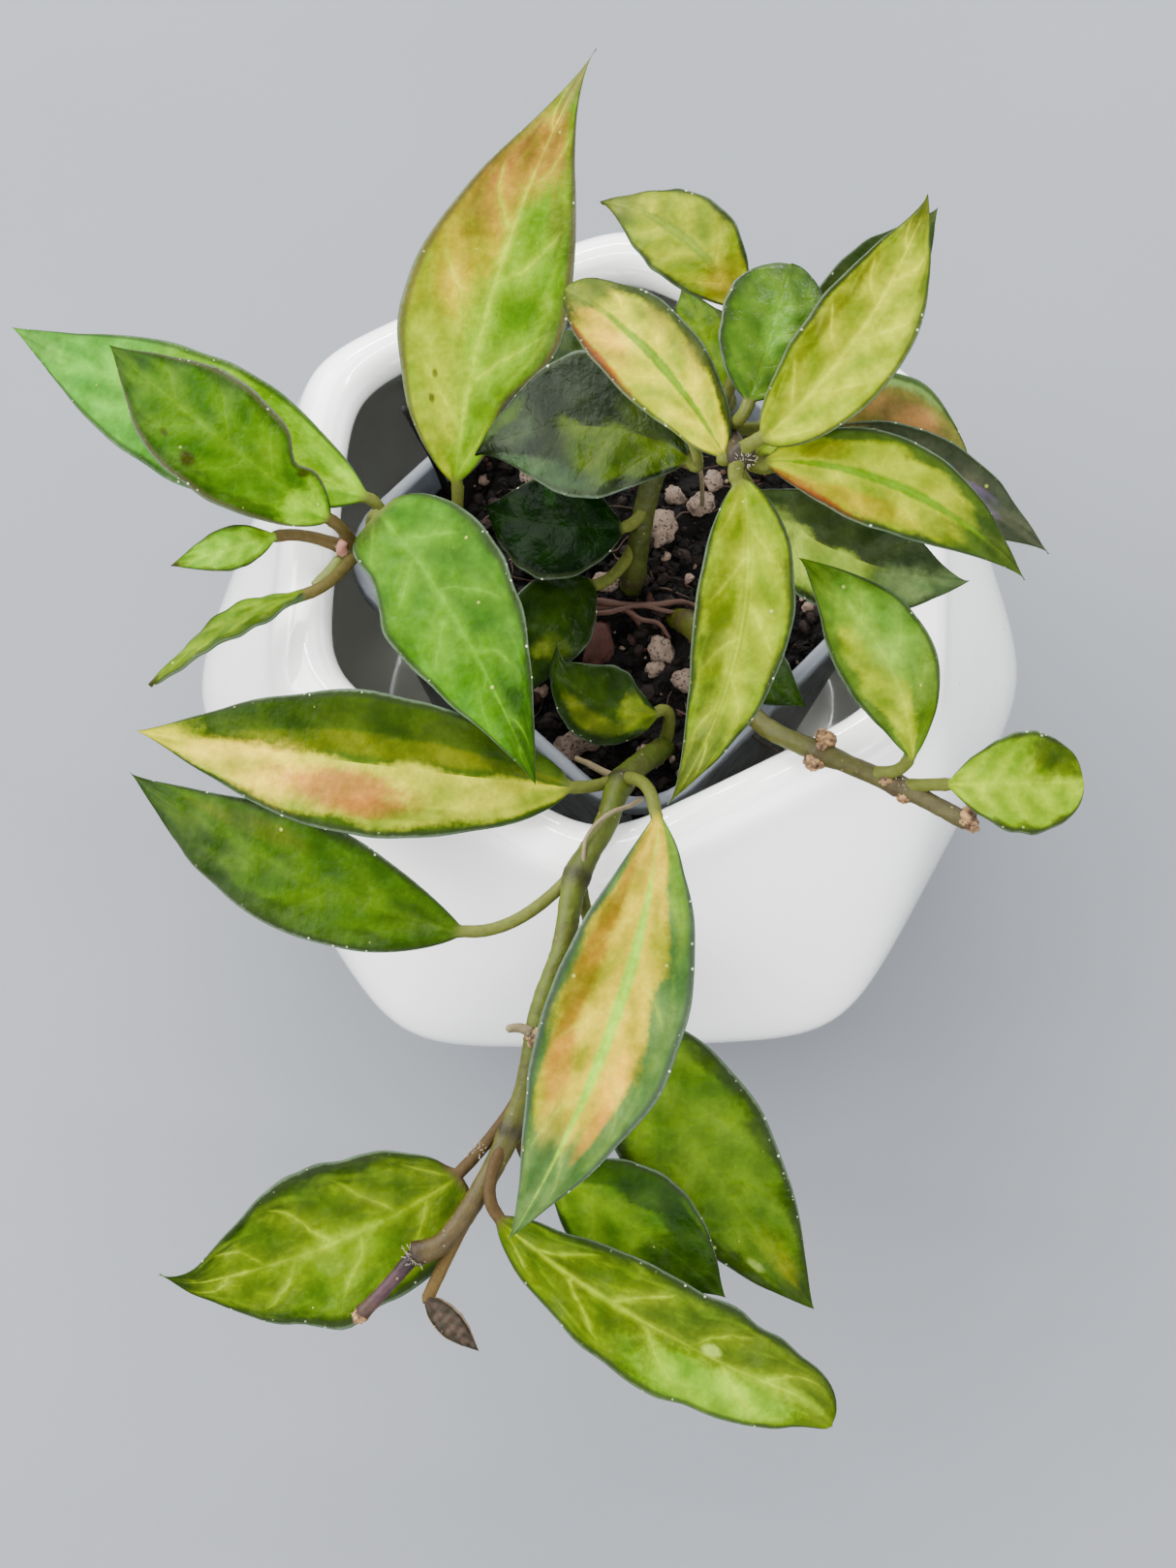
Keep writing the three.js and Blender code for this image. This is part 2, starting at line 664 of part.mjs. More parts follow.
leaf('vine_leaf_pink', frontVine, 0.25, [-9.5, -55.5, 126], [-92.5, -41.5, 123],
  { width: 27, bend: 0.5, arch: 7, widest: 0.45, baseFull: 0.6 }, colours.pink);
leaf('vine_leaf_orange', frontVine, 0.28, [6, -64, 135], [-22, -139.5, 121],
  { width: 25.5, bend: 5, widest: 0.48, baseFull: 0.85, arch: 5 }, colours.orange);
leaf('vine_leaf_left', frontVine, 0.43, [-29.5, -82, 121], [-95, -46.5, 114],
  { width: 22, bend: 3.5, widest: 0.42 }, colours.green);
leaf('vine_leaf_large', frontVine, 0.45, [-2, -92, 111], [36.5, -146, 75],
  { width: 28, bend: -2, widest: 0.42, tipFull: 1, arch: 2.5 }, colours.green);
leaf('vine_leaf_end_left', frontVine, 0.74, [-31.5, -124, 104], [-88.5, -141.5, 87],
  { width: 30, bend: 3.5, hook: -2.6, baseFull: 0.45, tipFull: 1.3, arch: 2 }, colours.green);
leaf('vine_leaf_end_front', frontVine, 0.8, [-24, -133, 108], [39.5, -166.5, 87],
  { width: 21, bend: -3, hook: -3.4, widest: 0.56, baseFull: 0.6, tipFull: 0.55 }, colours.lime);
leaf('vine_leaf_end_under', frontVine, 0.77, [-15, -124, 101], [18.5, -145.5, 88],
  { width: 22, bend: 2, widest: 0.42, arch: 3 }, colours.darkGreen);
leaf('vine_bud_leaf', frontVine, 0.9, [-37.5, -146.5, 100], [-28, -156, 98],
  { width: 5.5, arch: 0.5, baseFull: 0.5, waveHeight: 0, petioleBow: 0 }, colours.brownBud);

export default plant;
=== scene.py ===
import math
import random
from bisect import bisect_right

import bmesh
import bpy
from mathutils import Matrix, Quaternion, Vector, noise


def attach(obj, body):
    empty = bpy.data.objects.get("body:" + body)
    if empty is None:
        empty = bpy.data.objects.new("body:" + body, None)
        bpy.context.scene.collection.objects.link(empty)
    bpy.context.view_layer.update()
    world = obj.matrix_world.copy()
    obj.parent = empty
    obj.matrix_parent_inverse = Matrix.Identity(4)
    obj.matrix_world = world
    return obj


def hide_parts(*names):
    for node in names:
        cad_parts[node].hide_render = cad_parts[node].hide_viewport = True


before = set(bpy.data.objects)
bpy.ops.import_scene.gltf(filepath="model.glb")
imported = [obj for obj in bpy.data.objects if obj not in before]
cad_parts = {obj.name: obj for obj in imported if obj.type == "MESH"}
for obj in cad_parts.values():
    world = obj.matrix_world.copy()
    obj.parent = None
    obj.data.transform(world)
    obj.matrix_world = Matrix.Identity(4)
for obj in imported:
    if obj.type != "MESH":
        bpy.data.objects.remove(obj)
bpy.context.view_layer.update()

print("frame loaded,", len(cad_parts), "nodes")

metre = 0.001  # shapes are worked out in millimetres and scaled when a piece is finished
fullTurn = 2 * math.pi
upright = Vector((0, 0, 1))
random.seed(8666)


# Small sums that every piece uses

def mix(low, high, share):
    return low + (high - low) * share


def ease(low, high, value):
    share = min(max((value - low) / (high - low), 0), 1)
    return share * share * (3 - 2 * share)


def bell(distance, width):  # 1 at no distance, falling away over the width
    return math.exp(-(distance / width) ** 2)


def polar(angle, radius, height=0.0):
    return Vector((radius * math.cos(angle), radius * math.sin(angle), height))


def squareTo(tangent, reference):
    return (reference - tangent * reference.dot(tangent)).normalized()


def rough(point, size, seed=0.0):  # smooth noise, about -1 to 1
    return noise.noise(Vector(point) / size + Vector((seed, 2.7 * seed, -seed)))


def scatter(reach):
    return Vector([random.uniform(-reach, reach) for _ in range(3)])


def nodeName(name):  # tallStem to tall_stem
    return "".join("_" + letter.lower() if letter.isupper() else letter for letter in name)


def pathThrough(points, detail=24):  # a smooth curve, with the length up to each of its steps
    spots = [Vector(point) for point in points]
    spots = [2 * spots[0] - spots[1], *spots, 2 * spots[-1] - spots[-2]]
    line = []
    for k in range(1, len(spots) - 2):
        before, start, end, after = spots[k - 1:k + 3]
        first, second, third = ((other - one).length ** 0.5 for one, other in
                                ((before, start), (start, end), (end, after)))
        across = (end - start) / second
        leave = ((start - before) / first - (end - before) / (first + second) + across) * second
        reach = (across - (after - start) / (second + third) + (after - end) / third) * second
        cubic = 2 * start - 2 * end + leave + reach
        square = 3 * end - 3 * start - 2 * leave - reach
        for t in (step / detail for step in range(detail)):
            line.append(start + leave * t + square * t ** 2 + cubic * t ** 3)
    line.append(spots[-2])
    lengths = [0.0]
    for one, other in zip(line, line[1:]):
        lengths.append(lengths[-1] + (other - one).length)
    return line, lengths


def pointOn(path, share):
    line, lengths = path
    wanted = min(max(share, 0), 1) * lengths[-1]
    k = min(max(bisect_right(lengths, wanted) - 1, 0), len(line) - 2)
    return line[k].lerp(line[k + 1], (wanted - lengths[k]) / max(lengths[k + 1] - lengths[k], 1e-9))


def wayOn(path, share, step=0.01):
    return (pointOn(path, share + step) - pointOn(path, share - step)).normalized()


# Mesh building: a grid is wrapped round a row of rings, which closes at its seam and at its poles

def wrapGrid(bm, rings, marks=None, layer=None):
    rows, around = len(rings) - 1, len(rings[0])
    for vert in bmesh.ops.create_grid(bm, x_segments=rows, y_segments=around, size=0.5)["verts"]:
        row = round((vert.co.x + 0.5) * rows)
        turn = round((vert.co.y + 0.5) * around) % around
        vert.co = rings[row][turn]
        if marks:
            vert[layer] = marks[row][turn]


def ringAround(centre, first, second, radius, count, ripple, seed):
    ring = []
    for k in range(count):
        angle = fullTurn * k / count
        out = (first * math.cos(angle) + second * math.sin(angle)) * radius
        ring.append(centre + out * (1 + ripple * rough(centre + out, 1.6, seed)))
    return ring


def addObject(name, data, matrix=None):
    made = bpy.data.objects.new(name, data)
    if matrix:
        made.matrix_world = matrix
    bpy.context.scene.collection.objects.link(made)
    return made


def finishPiece(name, bm, material, slot, nodes=(), flat=False, levels=0):
    bmesh.ops.remove_doubles(bm, verts=bm.verts, dist=0.0005)
    bmesh.ops.dissolve_degenerate(bm, edges=bm.edges, dist=0.0001)
    bmesh.ops.recalc_face_normals(bm, faces=bm.faces)
    bmesh.ops.scale(bm, vec=(metre, metre, metre), verts=bm.verts)
    mesh = bpy.data.meshes.new(name)
    bm.to_mesh(mesh)
    bm.free()
    if not flat:
        mesh.shade_smooth()
    mesh.materials.append(material)
    piece = addObject(name, mesh)
    if levels:
        surface = piece.modifiers.new("Subdivision", "SUBSURF")
        surface.levels = surface.render_levels = levels
    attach(piece, "root")
    if nodes:
        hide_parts(*nodes)


# Camera: the photograph's steep view from the front

cameraLook = {"place": (-10.0, -211.4, 542.4), "azimuth": -1.4, "elevation": 69.4, "roll": 0.4,
              "lens": 54.12, "sensor": 36.0}


def addCamera(look):
    lens = bpy.data.cameras.new("photoCamera")
    lens.lens, lens.sensor_width, lens.clip_start = look["lens"], look["sensor"], 0.01
    turn = Matrix.Identity(4)
    for degrees, axis in ((look["azimuth"], "Z"), (90 - look["elevation"], "X"), (look["roll"], "Z")):
        turn = turn @ Matrix.Rotation(math.radians(degrees), 4, axis)
    place = Matrix.Translation(Vector(look["place"]) * metre)
    bpy.context.scene.camera = addObject("photoCamera", lens, place @ turn)


addCamera(cameraLook)


# Colours

displayLook = {"light": 3.8, "narrow": 0.59, "bend": 0.77, "lift": 0.51, "widen": 1.67}


def spread(parts, amount):  # pulls the three channels together or apart
    grey = 0.25 * parts[0] + 0.6 * parts[1] + 0.15 * parts[2]
    return [min(max(grey + (part - grey) * amount, 0.0005), 8.0) for part in parts]


def tone(code):  # a colour as the photograph shows it, as the surface colour that gives it in this light
    parts = [((int(code[k:k + 2], 16) / 255 + 0.055) / 1.055) ** 2.4 for k in (0, 2, 4)]
    parts = [min(part, 0.95) ** displayLook["bend"] for part in spread(parts, displayLook["narrow"])]
    parts = spread([displayLook["lift"] * part / (1.0 - part) for part in parts], displayLook["widen"])
    return [min(part / displayLook["light"], 0.9) for part in parts] + [1.0]


def shade(value):  # a plain grey, for darkening a colour that it multiplies
    return [value, value, value, 1.0]


# Shader nodes

def does(operation):
    return lambda one, other=0.0: calc(operation, one, other)


class Signal:  # an output of a shader node; sums of signals add the nodes that work them out
    __add__, __sub__, __mul__, __truediv__ = map(does, ("ADD", "SUBTRACT", "MULTIPLY", "DIVIDE"))
    __pow__, __gt__, __lt__, __abs__ = map(does, ("POWER", "GREATER_THAN", "LESS_THAN", "ABSOLUTE"))

    def __init__(self, socket):
        self.socket = socket

    def __rsub__(self, other):
        return calc("SUBTRACT", other, self)


def put(socket, value):
    if isinstance(value, Signal):
        socket.id_data.links.new(value.socket, socket)
    else:
        socket.default_value = tone(value) if isinstance(value, str) else value


def add(kind, sockets, *outputs, tree=None, **settings):  # a node, of which the named outputs are returned
    if not tree:
        tree = next(value.socket.id_data for value in sockets.values() if isinstance(value, Signal))
    made = tree.nodes.new("ShaderNode" + kind)
    for name, value in settings.items():
        setattr(made, name, value)
    for name, value in sockets.items():
        put(made.inputs[name], value)
    signals = [Signal(made.outputs[name]) for name in outputs or (0,)]
    return signals if len(signals) > 1 else signals[0]


def calc(operation, *values, clamp=False):
    return add("Math", dict(enumerate(values)), operation=operation, use_clamp=clamp)


def most(one, other):
    return calc("MAXIMUM", one, other)


def rise(value, low, high):  # 0 at low, 1 at high, smooth between
    sockets = {"Value": value, "From Min": low, "From Max": high}
    return add("MapRange", sockets, "Result", interpolation_type="SMOOTHSTEP")


def tint(mask, under, over, way="MIX"):
    return add("Mix", {0: mask, 6: under, 7: over}, 2, data_type="RGBA", blend_type=way)


def times(one, other):
    return tint(1.0, one, other, "MULTIPLY")


def layered(colour, *layers):  # each layer is a mask and the colour that it lays over the ones before
    for mask, over in layers:
        colour = tint(mask, colour, over)
    return colour


def grain(vector, scale, detail=3.0, seed=0.0):
    sockets = {"Vector": vector, "W": seed, "Scale": scale, "Detail": detail, "Roughness": 0.55}
    return add("TexNoise", sockets, "Fac", noise_dimensions="4D")


def stretched(vector, factors):
    return add("VectorMath", {0: vector, 1: factors}, operation="MULTIPLY")


def objectPlace(tree):
    return add("TexCoord", {}, "Object", tree=tree)


def mark(tree, name, kind="Fac"):  # what a piece's own vertices say
    return add("Attribute", {}, kind, tree=tree, attribute_name=name)


def newGroup(name, inputs, outputs):  # an input is given as its kind, or as a number, its usual value
    group = bpy.data.node_groups.new(name, "ShaderNodeTree")
    for label, value in inputs.items():
        kind = value if isinstance(value, str) else "Float"
        socket = group.interface.new_socket(name=label, in_out="INPUT", socket_type="NodeSocket" + kind)
        if kind == "Float":
            socket.default_value = value
    for label, kind in outputs.items():
        group.interface.new_socket(name=label, in_out="OUTPUT", socket_type="NodeSocket" + kind)
    given = {socket.name: Signal(socket) for socket in group.nodes.new("NodeGroupInput").outputs}
    return group, given, group.nodes.new("NodeGroupOutput").inputs


def newMaterial(name, specular=0.5, coat=0.0):
    material = bpy.data.materials.new(name)
    material.use_nodes = True
    sockets = material.node_tree.nodes["Principled BSDF"].inputs
    sockets["Specular IOR Level"].default_value = specular
    sockets["Coat Weight"].default_value = coat
    return material, material.node_tree


def dress(material, colour, roughness, height=None, strength=0.0, distance=0.0):
    sockets = material.node_tree.nodes["Principled BSDF"].inputs
    put(sockets["Base Color"], colour)
    put(sockets["Roughness"], roughness)
    if height:
        bump = {"Height": height, "Strength": strength, "Distance": distance}
        put(sockets["Normal"], add("Bump", bump, "Normal"))
    return material


def buildSpeckle():  # small round specks scattered over a surface
    group, given, out = newGroup("speckle", {"Vector": "Vector", "Scale": 300.0, "Size": 0.1, "Share": 0.2},
                                 {"Mask": "Float"})
    cells = {"Vector": given["Vector"], "Scale": given["Scale"]}
    distance, hue = add("TexVoronoi", cells, "Distance", "Color")
    chance, size = add("SeparateColor", {"Color": hue}, "Red", "Green")
    reach = given["Size"] * (size + 0.4)
    put(out["Mask"], rise(distance, reach, reach * 0.4) * (chance < given["Share"]))
    return group


speckle = buildSpeckle()


def specks(vector, scale, size, share):
    sockets = {"Vector": vector, "Scale": scale, "Size": size, "Share": share}
    return add("Group", sockets, node_tree=speckle)


# Cachepot

cachepot = {
    "belt": 42, "shoulder": 114, "beltRadius": 100.5, "shoulderRadius": 78, "footRadius": 66,
    "mouth": 55, "twist": -3.8, "facetSoftness": 22, "mouthSoftness": 14, "wall": 5, "around": 120,
    # the inside glaze colours are painted shade: the glaze inside the pot is a little darker than outside
    "glaze": ("e9e9e6", "f6f6f4"), "cast": "e4e6e0", "speck": "6a6a62", "shadedInsideGlaze": ("e6e6e1", "f0f0ec"),
}


def softDistance(angle, sides, softness):  # a rounded polygon's reach at this angle
    total = sum((max(0.0, math.cos(angle - way)) / distance) ** softness for way, distance in sides)
    return total ** (-1 / softness)


def bodyRadius(size, angle, height):
    sides = []
    half = math.pi / 6
    twist = math.radians(size["twist"])
    ends = [((height - size["belt"]) / (size["shoulder"] - size["belt"]), size["shoulderRadius"]),
            ((size["belt"] - height) / size["belt"], size["footRadius"])]
    for share, radius in ends:
        for k in range(6):
            way = -math.pi / 2 + 2 * k * half
            sides.append((way, mix(size["beltRadius"] * math.cos(half), radius, share)))
            sides.append((way + half + twist, mix(size["beltRadius"], radius * math.cos(half), share)))
    return softDistance(angle, sides, size["facetSoftness"])


def mouthRadius(size, angle):
    first = -math.pi / 2 + math.radians(size["twist"])
    sides = [(first + (2 * k + 1) * math.pi / 6, size["mouth"]) for k in range(6)]
    return softDistance(angle, sides, size["mouthSoftness"])


def glazeMaterial(look):
    material, tree = newMaterial("whiteGlaze", coat=1.0)
    spot = objectPlace(tree)
    cloud = grain(spot, 9.0)
    dark = specks(spot, 130.0, 0.055, 0.16)
    # inside the pot the glaze is painted darker, as painted shade in the gap between the pots
    colour = layered(tint(cloud, *look["glaze"]), (grain(spot, 55.0, 4.0, 3.0) * 0.18, look["cast"]),
                     (dark * 0.8, look["speck"]), (mark(tree, "inside"), tint(cloud, *look["shadedInsideGlaze"])))
    smear = rise(grain(spot, 38.0, 5.0, 7.0), 0.5, 0.75)
    height = grain(spot, 26.0, 2.0, 5.0) * 3.0 + grain(spot, 160.0, 2.0) - dark
    return dress(material, colour, smear * 0.12 + 0.14, height, 0.18, 0.0006)


def buildCachepot(size):
    def body(height, inset=0.0):
        return lambda angle: bodyRadius(size, angle, height) - inset

    def lip(share):
        return lambda angle: mix(bodyRadius(size, angle, size["shoulder"]), mouthRadius(size, angle), share)

    def pole(angle):
        return 0.0

    foot = [(1.5, pole), (1.5, body(0, 16)), (0.6, body(0, 9)), (0, body(0, 5.5)), (0.4, body(0, 2.6)),
            (2, body(2, 0.9)), (5, body(5, 0.1))]
    side = [(height, body(height)) for height in (12, 20, 28, 34, 38, 42, 46, 50, 58, 68, 80, 92, 102, 109)]
    roll = [(height, lip(share)) for height, share in (
        (size["shoulder"], 0), (117, 0.07), (119.3, 0.18), (121.1, 0.35), (121.9, 0.5), (122, 0.64),
        (121.7, 0.77), (120.6, 0.9), (118.6, 0.99), (116.4, 1), (114.6, 0.94), (113, 0.84))]
    inside = [(height, body(height, size["wall"])) for height in (111, 104, 90, 74, 58)]
    inside += [(42, body(42, 6)), (26, body(26, 6.4)), (17, body(17, 7)), (11.5, body(12, 9.5)),
               (9.3, body(9, 14)), (9, body(9, 22)), (9, pole)]
    innerFrom = len(foot + side + roll) - 3
    rings, marks = [], []
    for row, (height, radius) in enumerate(foot + side + roll + inside):
        angles = [fullTurn * k / size["around"] for k in range(size["around"])]
        rings.append([polar(angle, radius(angle), height) for angle in angles])
        marks.append([min(max((row - innerFrom) / 3, 0), 1)] * len(angles))
    bm = bmesh.new()
    wrapGrid(bm, rings, marks, bm.verts.layers.float.new("inside"))
    finishPiece("cachepotBody", bm, glazeMaterial(size), "white_glaze", ["cachepot"], levels=1)


buildCachepot(cachepot)
print("cachepot made")


# Nursery pot

nurseryPot = {
    "side": 89.5, "base": 64, "corner": 16, "top": 111, "bottom": 9.3, "band": 4, "step": 1.2, "wall": 1.6,
    "centre": Vector((3.5, 2, 0)), "turn": 45.6, "holeRadius": 4, "holeOffset": 13.3, "holeSteps": 20,
    "cornerSteps": 9, "plastic": ("868c94", "9aa0a8"), "rimEdge": "9a9fa6", "scuff": "b9bdc2",
    "soiled": "2b241f", "grit": "2a211b",
}


def wallSide(size, height):
    share = (height - size["bottom"]) / (size["top"] - size["bottom"])
    return mix(size["base"], size["side"] - 2 * size["step"], share)


def squareRing(size, side, height, inset=0.0, straight=6):
    corner = size["corner"] * side / size["side"] - inset
    reach = (side / 2 - inset - corner) * math.sqrt(2)
    steps = size["cornerSteps"]
    turn = Matrix.Rotation(math.radians(size["turn"]), 4, "Z")
    ring = []
    for quarter in range(4):
        here, following = (polar((quarter + half) * math.pi / 2, reach, height) for half in (0.5, 1.5))
        for step in range(steps + 1):
            ring.append(here + polar((quarter + step / steps) * math.pi / 2, corner))
        out = polar((quarter + 1) * math.pi / 2, corner)
        for step in range(1, straight):
            ring.append(here.lerp(following, step / straight) + out)
    return [turn @ point + size["centre"] for point in ring]


def plasticMaterial(look):
    material, tree = newMaterial("greyPlastic", specular=0.45)
    spot = objectPlace(tree)
    upward = add("SeparateXYZ", {0: spot}, "Z")
    scuffs = rise(grain(stretched(spot, (1.0, 1.0, 0.12)), 700.0, 3.0, 2.0), 0.6, 0.75)
    soiled = rise(upward, 0.1075, 0.101) * rise(grain(spot, 260.0, 5.0, 5.0), 0.45, 0.62)
    colour = layered(tint(grain(spot, 60.0, 4.0), *look["plastic"]),
                     (rise(upward, 0.1066, 0.1076), look["rimEdge"]),
                     (scuffs * 0.3, look["scuff"]), (soiled * 0.8, look["soiled"]),
                     (specks(spot, 300.0, 0.2, 0.12) * 0.7, look["grit"]))
    return dress(material, colour, grain(spot, 240.0) * 0.3 + 0.3, grain(spot, 1500.0, 2.0), 0.25, 0.0003)


def buildNurseryPot(size):
    side, base, top, bottom, wall = (size[key] for key in ("side", "base", "top", "bottom", "wall"))
    bandBottom, floorTop, rim = top - size["band"], bottom + wall, size["step"] + wall

    def onWall(inset, *heights):
        return [(wallSide(size, height), height, inset) for height in heights]

    rows = [(base - 4, bottom), (base - 2.6, bottom + 0.3)]
    rows += onWall(0, bottom + 2, 40, 75, bandBottom - 0.3, bandBottom)
    rows += [(side - 0.6, bandBottom + 0.1), (side, bandBottom + 0.5), (side, top - 0.6),
             (side, top - 0.2, 0.15), (side, top, 0.5), (side, top, rim - 0.6), (side, top - 0.2, rim - 0.15),
             (side, top - 0.6, rim)]
    rows += onWall(wall, bandBottom, 75, 40, floorTop + 2)
    rows.append((base - 4, floorTop, wall))
    bm = bmesh.new()
    wrapGrid(bm, [squareRing(size, *row) for row in rows])
    bmesh.ops.remove_doubles(bm, verts=bm.verts, dist=0.0005)
    loops = {level: [edge for edge in bm.edges if edge.is_boundary
                     and abs(edge.verts[0].co.z - level) < 0.05] for level in (bottom, floorTop)}
    hole = {"segments": size["holeSteps"], "radius": size["holeRadius"]}
    pairs = []
    for x, y in ((-1, -1), (-1, 1), (1, -1), (1, 1)):
        spot = size["centre"] + Vector((x, y, 0)) * size["holeOffset"]
        pairs.append([])
        for level, loop in loops.items():
            place = Matrix.Translation(spot + upright * level)
            made = bmesh.ops.create_circle(bm, matrix=place, **hole)
            edges = list({edge for vert in made["verts"] for edge in vert.link_edges})
            loop += edges
            pairs[-1] += edges
    for loop in loops.values():
        bmesh.ops.triangle_fill(bm, use_beauty=True, edges=loop)
    for pair in pairs:
        bmesh.ops.bridge_loops(bm, edges=pair)
    finishPiece("nurseryPotShell", bm, plasticMaterial(size), "grey_plastic", ["nursery_pot"])


buildNurseryPot(nurseryPot)
print("nursery pot made")


# Soil, with its crumbs

soil = {
    "top": 102, "bottom": 11.2, "wallGap": 1.9, "rings": 54, "straight": 30,
    "crumbs": 2300, "crumbMargin": 2.9, "crumbRadius": (0.35, 2.1), "crumbRarity": 2.8, "crumbDent": 0.13,
    "fibres": 34, "fibreStep": 3.1, "fibreTurn": 0.8,
    "dark": ("010101", "181109"), "brown": "2c1f18", "crumbTones": ("40302a", "6b4234"),
    "grit": ("857368", "c9b8aa"),
}


def soilHeight(x, y):
    swell = 1.1 * math.sin(0.21 * x + 0.9) * math.cos(0.19 * y) + 0.7 * math.sin(0.47 * x - 0.4 * y)
    return soil["top"] + swell


def roughSoil(x, y):
    spot = Vector((x, y, 0))
    return soilHeight(x, y) + 1.5 * rough(spot, 5.2, 1.0) + 0.8 * rough(spot, 2.0, 4.0)


def soilMaterial(look):
    material, tree = newMaterial("darkSoil", specular=0.12)
    spot, kind = objectPlace(tree), mark(tree, "crumb")
    often, rare = look["crumbTones"]
    colour = layered(tint(grain(spot, 420.0, 5.0), *look["dark"]),
                     (rise(grain(spot, 150.0, 3.0, 2.0), 0.55, 0.75), look["brown"]),
                     (rise(kind, 0.4, 0.75), often), (rise(kind, 0.84, 0.88), rare),
                     (rise(kind, 0.945, 0.96), tint(grain(spot, 700.0, 4.0, 6.0), *look["grit"])))
    return dress(material, colour, grain(spot, 300.0) * 0.35 + 0.62, grain(spot, 1100.0, 5.0), 0.8, 0.0008)


def buildSoil(size, pot):
    bm = bmesh.new()
    crumb = bm.verts.layers.float.new("crumb")
    outline, low = (squareRing(pot, wallSide(pot, height), height, size["wallGap"], size["straight"])
                    for height in (size["top"], size["bottom"]))
    middle = pot["centre"]
    rings = [[middle + upright * size["bottom"]] * len(low), low]
    for step in range(size["rings"] + 1):
        share = 1 - step / size["rings"]
        ring = []
        for point in outline:
            x, y, _ = middle + (point - middle) * share
            ring.append(Vector((x, y, roughSoil(x, y) - 0.8 * ease(0.97, 1, share))))
        rings.append(ring)
    wrapGrid(bm, rings)
    turn = Matrix.Rotation(math.radians(pot["turn"]), 4, "Z")
    reach = wallSide(pot, size["top"]) / 2 - size["crumbMargin"]
    for _ in range(size["crumbs"]):
        x, y, _ = turn @ Vector((random.uniform(-reach, reach), random.uniform(-reach, reach), 0)) + middle
        radius = mix(*size["crumbRadius"], random.random() ** size["crumbRarity"])
        width, height = random.uniform(0.55, 1), random.uniform(0.4, 0.8)
        shape = Matrix.Diagonal((radius, radius * width, radius * height, 1))
        spin = Quaternion(scatter(1).normalized(), random.uniform(0, 6.28)).to_matrix().to_4x4()
        place = Matrix.Translation((x, y, roughSoil(x, y) + radius * 0.3))
        made = bmesh.ops.create_icosphere(bm, subdivisions=2 if radius > 1.1 else 1, radius=1,
                                          matrix=place @ spin @ shape)
        kind = random.random()
        for vert in made["verts"]:
            vert.co += scatter(size["crumbDent"]) * radius
            vert[crumb] = kind
    finishPiece("pottingSoil", bm, soilMaterial(size), "soil", ["potting_soil"], flat=True)


buildSoil(soil, nurseryPot)
print("soil made")


# Stones and bark that lie in the soil

stonesInSoil = {
    "pumiceBack": dict(node="pumice_stone_back", radius=4.2, place=(10, 10), stretch=(1, 0.8, 0.7)),
    "pumiceMiddle": dict(node="pumice_stone_middle", radius=3.2, place=(9.5, -17.5),
        stretch=(1.1, 0.8, 0.7)),
    "pumiceRight": dict(node="pumice_stone_right", radius=2.8, place=(14, -24), stretch=(1, 0.9, 0.8)),
    "pumiceFront": dict(node="pumice_stone_front", radius=4, place=(-7, -36), stretch=(1.3, 0.7, 0.6)),
    "pumiceLeft": dict(node="pumice_stone_left", radius=3.2, place=(-20, -14), stretch=(1, 0.8, 0.7)),
    "barkChunk": dict(node="bark_chunk", radius=4.6, place=(-3.5, -16), stretch=(0.7, 1.2, 0.7)),
}
looseStones = {  # place on the soil, radius
    "besideStem": ((-1.2, -2.2), 2.6), "behindRight": ((18.6, 15.3), 2.9), "behindFar": ((21.4, 20.2), 2.2),
    "behindStem": ((13.5, 17.5), 2.3), "midLower": ((8.1, -21.5), 1.9), "frontLeft": ((-10.5, -38.5), 2.8),
    "frontRight": ((6.5, -41.0), 2.6), "rightFar": ((33.0, -12.0), 2.2), "leftFar": ((-26.0, 3.0), 2.4),
    "backLeft": ((-16.0, 22.0), 3.0), "backFar": ((2.0, 36.0), 2.7), "right": ((38.0, 6.0), 2.6),
}


stoneLook = {
    "dents": ((0.16, 0.6), (0.13, 0.27), (0.06, 0.1)),  # depth, size
    "pumice": ("6d5d52", "c6b6a8"), "pore": "3d2f28", "stain": "43302a", "bark": ("2e130d", "8a4a35"),
}


def pumiceMaterial(look):
    material, tree = newMaterial("pumice", specular=0.2)
    spot = objectPlace(tree)
    hollow = rise(add("TexVoronoi", {"Vector": spot, "Scale": 1300.0}, "Distance"), 0.34, 0.12)
    colour = layered(tint(grain(spot, 260.0, 4.0), *look["pumice"]), (hollow * 0.75, look["pore"]),
                     (rise(grain(spot, 380.0, 5.0, 4.0), 0.55, 0.68) * 0.7, look["stain"]))
    return dress(material, colour, hollow * 0.08 + 0.88, grain(spot, 600.0, 4.0) - hollow, 0.9, 0.0007)


def barkMaterial(name, dark, pale):
    material, tree = newMaterial(name, specular=0.25)
    strands = grain(stretched(objectPlace(tree), (1.0, 0.25, 1.0)), 900.0, 5.0)
    return dress(material, tint(strands, dark, pale), strands * 0.3 + 0.6, strands, 0.9, 0.0009)


pumice, bark = pumiceMaterial(stoneLook), barkMaterial("redBark", *stoneLook["bark"])


def addStone(bm, radius, stretch, seed, place):
    made = bmesh.ops.create_icosphere(bm, subdivisions=4, radius=1)
    for vert in made["verts"]:
        unit = vert.co.copy()
        dent = 1 + 0.09 * math.sin(3 * unit.x + seed) * math.cos(4 * unit.y - seed)
        dent += sum(depth * rough(unit, size, seed) for depth, size in stoneLook["dents"])
        vert.co = unit * Vector(stretch) * (radius * dent)
    bmesh.ops.rotate(bm, verts=made["verts"], cent=(0, 0, 0), matrix=Matrix.Rotation(seed, 3, "Z"))
    bmesh.ops.translate(bm, verts=made["verts"], vec=place)


